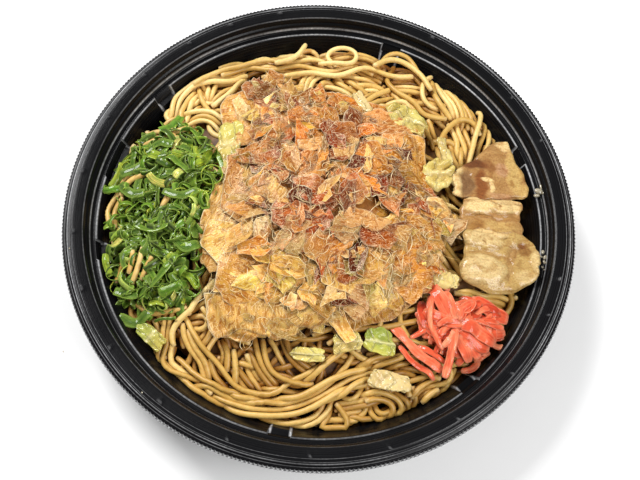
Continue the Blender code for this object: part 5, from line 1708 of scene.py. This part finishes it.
def make_pork(ground):
    rng = np.random.default_rng(17)
    material = pork_material()
    rows, columns = 60, 84
    v, u = np.meshgrid(np.linspace(0, 1, rows), np.linspace(0, 1, columns), indexing="ij")
    for name, (near, far, lift, tint, patches) in PORK_SHEETS.items():
        plan = loft(near, far, rows, columns)
        x, y = plan[..., 0], plan[..., 1]
        for turns, size in ((1.3, 0.8), (3.7, 0.3)):
            x = x + size * MM * np.sin(2 * math.pi * turns * v + rng.uniform(0, 6)) * np.abs(2 * u - 1) ** 3
            y = y + size * MM * np.sin(2 * math.pi * turns * u + rng.uniform(0, 6)) * np.abs(2 * v - 1) ** 3
        corner = np.clip(np.abs(2 * u - 1) ** 5 + np.abs(2 * v - 1) ** 5 - 1, 0, 1)
        x, y = x + (x.mean() - x) * 0.14 * corner, y + (y.mean() - y) * 0.14 * corner
        packed = TopSurface(name)
        level = packed.grid[packed.covered].mean()
        z = 0.35 * level + 0.65 * (ground.at(x, y) + 2.0 * MM) + lift * MM
        z += crumple(x, y, 14.0, 0.5, rng)
        colours = np.broadcast_to(np.array(PORK_TINTS[tint]), (*x.shape, 3))
        shade = 0.86 if name == "pork_slice_3" else 1.0
        wander_x = x / MM + 0.6 * np.sin(y / MM * 0.7) + 0.15 * np.sin(y / MM * 1.9 + 1)
        wander_y = y / MM + 0.5 * np.sin(x / MM * 0.45) + 0.15 * np.sin(x / MM * 1.3 + 2)
        for patch, px, py, wide, deep, rise, strength in patches:
            away = np.hypot((wander_x - px) / wide, (wander_y - py) / deep)
            share = np.clip((1.3 - away) / 0.6, 0, 1)
            share = share * share * (3 - 2 * share)
            z = z + rise * MM * share
            colours = colours + (np.array(PORK_TINTS[patch]) - colours) * (strength * share)[..., None]
        edge = np.minimum(np.minimum(u, 1 - u) / 0.03, np.minimum(v, 1 - v) / 0.05)
        z = z - 0.7 * MM * np.exp(-(edge**2))
        thick = 1.5 * MM * np.clip(edge, 0.35, 1.0)
        vertices, faces = thin_sheet(np.stack([x, y, z], -1), 1.0, 1.0)
        half = len(vertices) // 2
        middle = 0.5 * (vertices[:half] + vertices[half:])
        away = (vertices[:half] - middle) * thick.reshape(-1, 1)
        gather = Gather()
        gather.add(np.concatenate([middle + away, middle - away]), faces, tint=np.tile(shade * colours.reshape(-1, 3), (2, 1)),
                   along=np.tile(x.ravel() / MM, 2), across=np.tile(y.ravel() / MM, 2))
        place_piece(gather.build(name + "_meat", material), "pork", name)


def pork_material():
    material, nodes, links, shader = new_material("pork_meat", 0.3)
    tint = add_attribute(nodes, "tint").outputs["Color"]
    joined = nodes.new("ShaderNodeCombineXYZ")
    links.new(add_attribute(nodes, "along").outputs["Fac"], joined.inputs["X"])
    links.new(add_attribute(nodes, "across").outputs["Fac"], joined.inputs["Y"])
    grain = add_stretched_noise(nodes, links, joined.outputs["Vector"], (0.14, 0.9, 1.0), 5.0, 0.8)
    pores = add_stretched_noise(nodes, links, joined.outputs["Vector"], (1.3, 1.5, 1.0), 3.0, 0.4)
    blots = add_stretched_noise(nodes, links, joined.outputs["Vector"], (0.22, 0.30, 1.0), 3.0, 0.6)
    shades = add_ramp(nodes, links, grain, ((0.30, (0.62, 0.50, 0.38)), (0.50, (0.98, 0.97, 0.95)), (0.70, (1.20, 1.25, 1.30))))
    colour = add_mix(nodes, links, 0.40, tint, shades, "MULTIPLY")
    stains = add_ramp(nodes, links, blots, ((0.32, (0.70, 0.56, 0.40)), (0.50, (1.0, 1.0, 1.0))))
    colour = add_mix(nodes, links, 0.8, colour, stains, "MULTIPLY")
    dots = add_ramp(nodes, links, pores, ((0.34, (0.60, 0.44, 0.30)), (0.50, (1.0, 1.0, 1.0)), (0.66, (1.15, 1.20, 1.25))))
    colour = add_mix(nodes, links, 0.55, colour, dots, "MULTIPLY")
    links.new(colour, shader.inputs["Base Color"])
    links.new(add_maths(nodes, links, "MULTIPLY_ADD", pores, 0.5), shader.inputs["Roughness"])
    make_translucent(shader, 0.2, (1.0, 0.6, 0.35), 0.0015)
    shader.inputs["Specular Tint"].default_value = (1.0, 0.85, 0.6, 1.0)
    shader.inputs["Coat Weight"].default_value = 0.45
    shader.inputs["Coat Roughness"].default_value = 0.13
    height = add_maths(nodes, links, "MULTIPLY_ADD", pores, 1.2)
    links.new(grain, height.node.inputs[2])
    add_bump(nodes, links, shader, height, 0.45, 0.0006)
    return material


# Near edge and far edge in plan mm, lift in mm, ripple in mm, greenness, whiteness
CABBAGE_SHEETS = {
    "cabbage_1": (((-44, 17), (-40, 15), (-36, 17)), ((-45, 36), (-40, 39), (-34, 38)), 0.6, 0.7, 0.45, 0.25),
    "cabbage_2": (((17, 46.5), (20.5, 48.5)), ((10, 56), (14, 59)), 0.8, 0.3, 0.05, 0.9),
    "cabbage_3": (((26, 44), (34, 39.5), (42.5, 37)), ((26, 53), (35, 52), (44, 45.5)), 1.6, 1.5, 0.45, 0.35),
    "cabbage_4": (((42, 13.5), (48, 11), (54, 14.5)), ((41, 22), (47.5, 27), (54.5, 24)), 2.0, 1.6, 0.30, 0.35),
    "cabbage_5": (((51, 23), (54.6, 24)), ((47, 37), (50.6, 38.4)), 1.4, 0.8, 0.30, 0.6),
    "cabbage_6": (((8.5, -60.5), (14, -59), (19.5, -58)), ((7.5, -53), (13, -51), (18.5, -51)), 0.6, 0.6, 0.3, 0.35),
    "cabbage_7": (((20.5, -58), (26, -59.5), (32.5, -60)), ((19.5, -50), (25, -49), (31, -50)), 0.8, 0.8, 0.85, 0.1),
    "cabbage_8": (((21.6, -70.5), (30, -71.8), (38.8, -72.4)), ((23.4, -64.4), (31, -64.6), (39, -66.6)), 1.0, 0.5, 0.0, 0.8),
    "cabbage_9": (((-60, -62), (-56, -57)), ((-70.5, -53.5), (-66.5, -49)), 0.6, 0.5, 0.8, 0.2),
    "cabbage_10": (((-8.5, -62.5), (-2, -63.5), (5.5, -63)), ((-7, -58), (-1, -58), (5, -58.5)), 0.4, 0.5, 0.35, 0.2),
    "cabbage_11": (((46, -30.5), (51, -31.5), (56, -31)), ((45.5, -25.5), (51, -24), (56.5, -25.8)), 1.6, 1.0, 0.15, 0.5),
}


def make_cabbage(ground):
    rng = np.random.default_rng(29)
    material = cabbage_material()
    for name, (near, far, lift, ripple, green, white) in CABBAGE_SHEETS.items():
        rows, columns = 34, 34
        plan = loft(near, far, rows, columns)
        v, u = np.meshgrid(np.linspace(0, 1, rows), np.linspace(0, 1, columns), indexing="ij")
        middle = plan.mean((0, 1))
        edge = np.minimum(np.minimum(u, 1 - u), np.minimum(v, 1 - v))
        angle = np.arctan2(v - 0.5, u - 0.5)
        rag = 1 + (1 - 0.8 * white) * sum(size * np.sin(turns * angle + rng.uniform(0, 6)) for turns, size in ((3, 0.06), (5, 0.05), (9, 0.035)))
        corner = np.clip((np.abs(2 * u - 1) ** 3 + np.abs(2 * v - 1) ** 3) - 1, 0, 1)
        plan = middle + (plan - middle) * (rag * (1 - 0.20 * corner))[..., None]
        x, y = plan[..., 0], plan[..., 1]
        packed = TopSurface(name)
        level = packed.grid[packed.covered].mean()
        z = 0.5 * level + 0.5 * (ground.at(x, y) + 1.0 * MM) + (lift - 0.6) * MM
        z += crumple(x, y, 6.0, 0.8 * ripple, rng) + crumple(x, y, 2.4, 0.16 + 0.12 * ripple, rng)
        z += 0.6 * ripple * MM * np.exp(-((edge / 0.14) ** 2)) * np.sin(7 * u + 5 * v + rng.uniform(0, 6))
        thickness = (0.5 + 1.0 * white) * MM
        vertices, faces = thin_sheet(np.stack([x, y, z], -1), thickness)
        veins = np.abs(np.sin(5.5 * (u + 0.35 * np.abs(v - 0.5)) + rng.uniform(0, 3)))
        rib = np.exp(-(((v - 0.5) / 0.07) ** 2)) if white < 0.5 else 0.1 + 0 * v
        gather = Gather()
        gather.add(vertices, faces, green=np.tile((green * (0.7 + 0.5 * v)).ravel(), 2), white=float(white),
                   vein=np.tile(np.maximum(np.clip(1 - veins / 0.14, 0, 1), rib).ravel(), 2),
                   along=np.tile(u.ravel() * 20, 2), across=np.tile(v.ravel() * 20, 2))
        place_piece(gather.build(name + "_leaf", material), "cabbage_leaf", name)


def cabbage_material():
    material, nodes, links, shader = new_material("cabbage_flesh", 0.3)
    green, white, vein = (add_attribute(nodes, key).outputs["Fac"] for key in ("green", "white", "vein"))
    noise = add_noise(nodes, links, 240.0, 5.0, 0.8)
    mixed = add_maths(nodes, links, "MULTIPLY_ADD", noise, 0.5)
    links.new(add_maths(nodes, links, "ADD", green, -0.2), mixed.node.inputs[2])
    colour = add_ramp(nodes, links, mixed, ((0.0, (0.80, 0.63, 0.25)), (0.30, (0.74, 0.62, 0.18)), (0.60, (0.54, 0.50, 0.07)),
                                            (0.95, (0.26, 0.33, 0.02))))
    colour = add_mix(nodes, links, add_maths(nodes, links, "MULTIPLY", white, 0.95), colour, (0.62, 0.46, 0.20))
    colour = add_mix(nodes, links, add_maths(nodes, links, "MULTIPLY", vein, 0.5), colour, (0.88, 0.78, 0.44))
    stain = add_ramp(nodes, links, add_noise(nodes, links, 90.0, 3.0, 0.5), ((0.40, (0.70, 0.52, 0.30)), (0.58, (1.0, 1.0, 1.0))))
    colour = add_mix(nodes, links, 0.45, colour, stain, "MULTIPLY")
    links.new(colour, shader.inputs["Base Color"])
    links.new(add_maths(nodes, links, "MULTIPLY_ADD", noise, 0.4), shader.inputs["Roughness"])
    make_translucent(shader, 0.35, (0.9, 0.9, 0.4), 0.0018)
    shader.inputs["Coat Weight"].default_value = 0.5
    shader.inputs["Coat Roughness"].default_value = 0.12
    height = add_maths(nodes, links, "ADD", noise, vein)
    add_bump(nodes, links, shader, height, 0.9, 0.0009)
    return material


# ---------------------------------------------------------------- droplets

# Plan place, height over the rim's lower edge line and radius in mm
DROPLETS = (
    (91.5, 17.5, -3.6, 1.5), (92.6, 19.6, -3.4, 1.0), (90.6, 15.6, -3.9, 1.0), (93.4, 16.6, -3.0, 0.7),
    (92.2, -10.0, -4.4, 0.8), (93.0, -12.4, -4.2, 0.9), (92.6, -14.4, -4.4, 0.7), (93.6, -15.0, -3.8, 0.6),
    (91.8, -16.6, -4.6, 0.6), (92.8, -17.8, -4.4, 0.5), (93.9, -13.4, -3.4, 0.5), (91.6, -12.0, -4.7, 0.5),
    (-98.6, -24.0, 2.4, 0.3), (-94.0, -66.0, 1.6, 0.3), (-62.0, -80.0, 2.4, 0.3), (36.0, -92.6, 2.2, 0.35),
)


def make_droplets():
    """Beads of broth and oil on the ledge and the rim."""
    rng = np.random.default_rng(4)
    gather = Gather()
    share, angle = disc_grid(9)
    for x, y, height, radius in DROPLETS:
        stretch = rng.uniform(0.8, 1.25)
        flat = share * radius * MM
        across = flat * (1 + 0.15 * np.sin(2 * angle + rng.uniform(0, 6.28)))
        dome = np.sqrt(np.clip(1 - share**2, 0, 1)) * radius * MM
        points = np.stack([x * MM + across * np.cos(angle) * stretch, y * MM + across * np.sin(angle) / stretch,
                           RIM_EDGE_Z + height * MM + 0.7 * dome], -1)
        vertices, faces = thin_sheet(points, 0.2 * radius * MM)
        gather.add(vertices, faces, tone=rng.uniform(0, 1))
    material, nodes, links, shader = new_material("broth_bead", 0.05)
    noise = add_noise(nodes, links, 300.0, 2.0)
    links.new(add_ramp(nodes, links, noise, ((0.3, (0.42, 0.36, 0.24)), (0.7, (0.62, 0.56, 0.42)))), shader.inputs["Base Color"])
    shader.inputs["Alpha"].default_value = 0.65
    shader.inputs["Coat Weight"].default_value = 1.0
    shader.inputs["Coat Roughness"].default_value = 0.03
    place_piece(gather.build("broth_beads", material), "tray_plastic")


# ---------------------------------------------------------------- run

make_camera()
make_stage()
make_tray()
NOODLE_TOP = TopSurface("noodles")
make_noodles(NOODLE_TOP)
FLAKE_TOP = TopSurface("bonito_flakes")
FLAKE_GROUND = TopSurface("bonito_flakes", "noodles")
FLAKE_GROUND.flake = FLAKE_TOP
heap_core("flake_core", FLAKE_TOP, 3.2 * MM, NOODLE_TOP, 2.0 * MM, 9.0 * MM,
          core_material("flake_shade", (0.26, 0.075, 0.006), (0.50, 0.21, 0.03), 160.0), "fish_flake", "bonito_flakes")
make_flakes(FLAKE_GROUND)
SCALLION_TOP = TopSurface("scallions")
heap_core("scallion_core", SCALLION_TOP, 3.0 * MM, NOODLE_TOP, 2.0 * MM, 6.0 * MM,
          core_material("scallion_shade", (0.006, 0.022, 0.002), (0.03, 0.09, 0.006), 260.0), "scallion", "scallions")
make_scallions(SCALLION_TOP, TopSurface("scallions", "noodles"))
GINGER_TOP = TopSurface("red_ginger")
heap_core("ginger_core", GINGER_TOP, 2.2 * MM, NOODLE_TOP, 2.0 * MM, 5.0 * MM,
          core_material("ginger_shade", (0.70, 0.06, 0.025), (0.92, 0.18, 0.09), 260.0), "ginger", "red_ginger")
make_ginger(GINGER_TOP, TopSurface("red_ginger", "noodles"))
make_pork(NOODLE_TOP)
make_cabbage(NOODLE_TOP)
make_droplets()
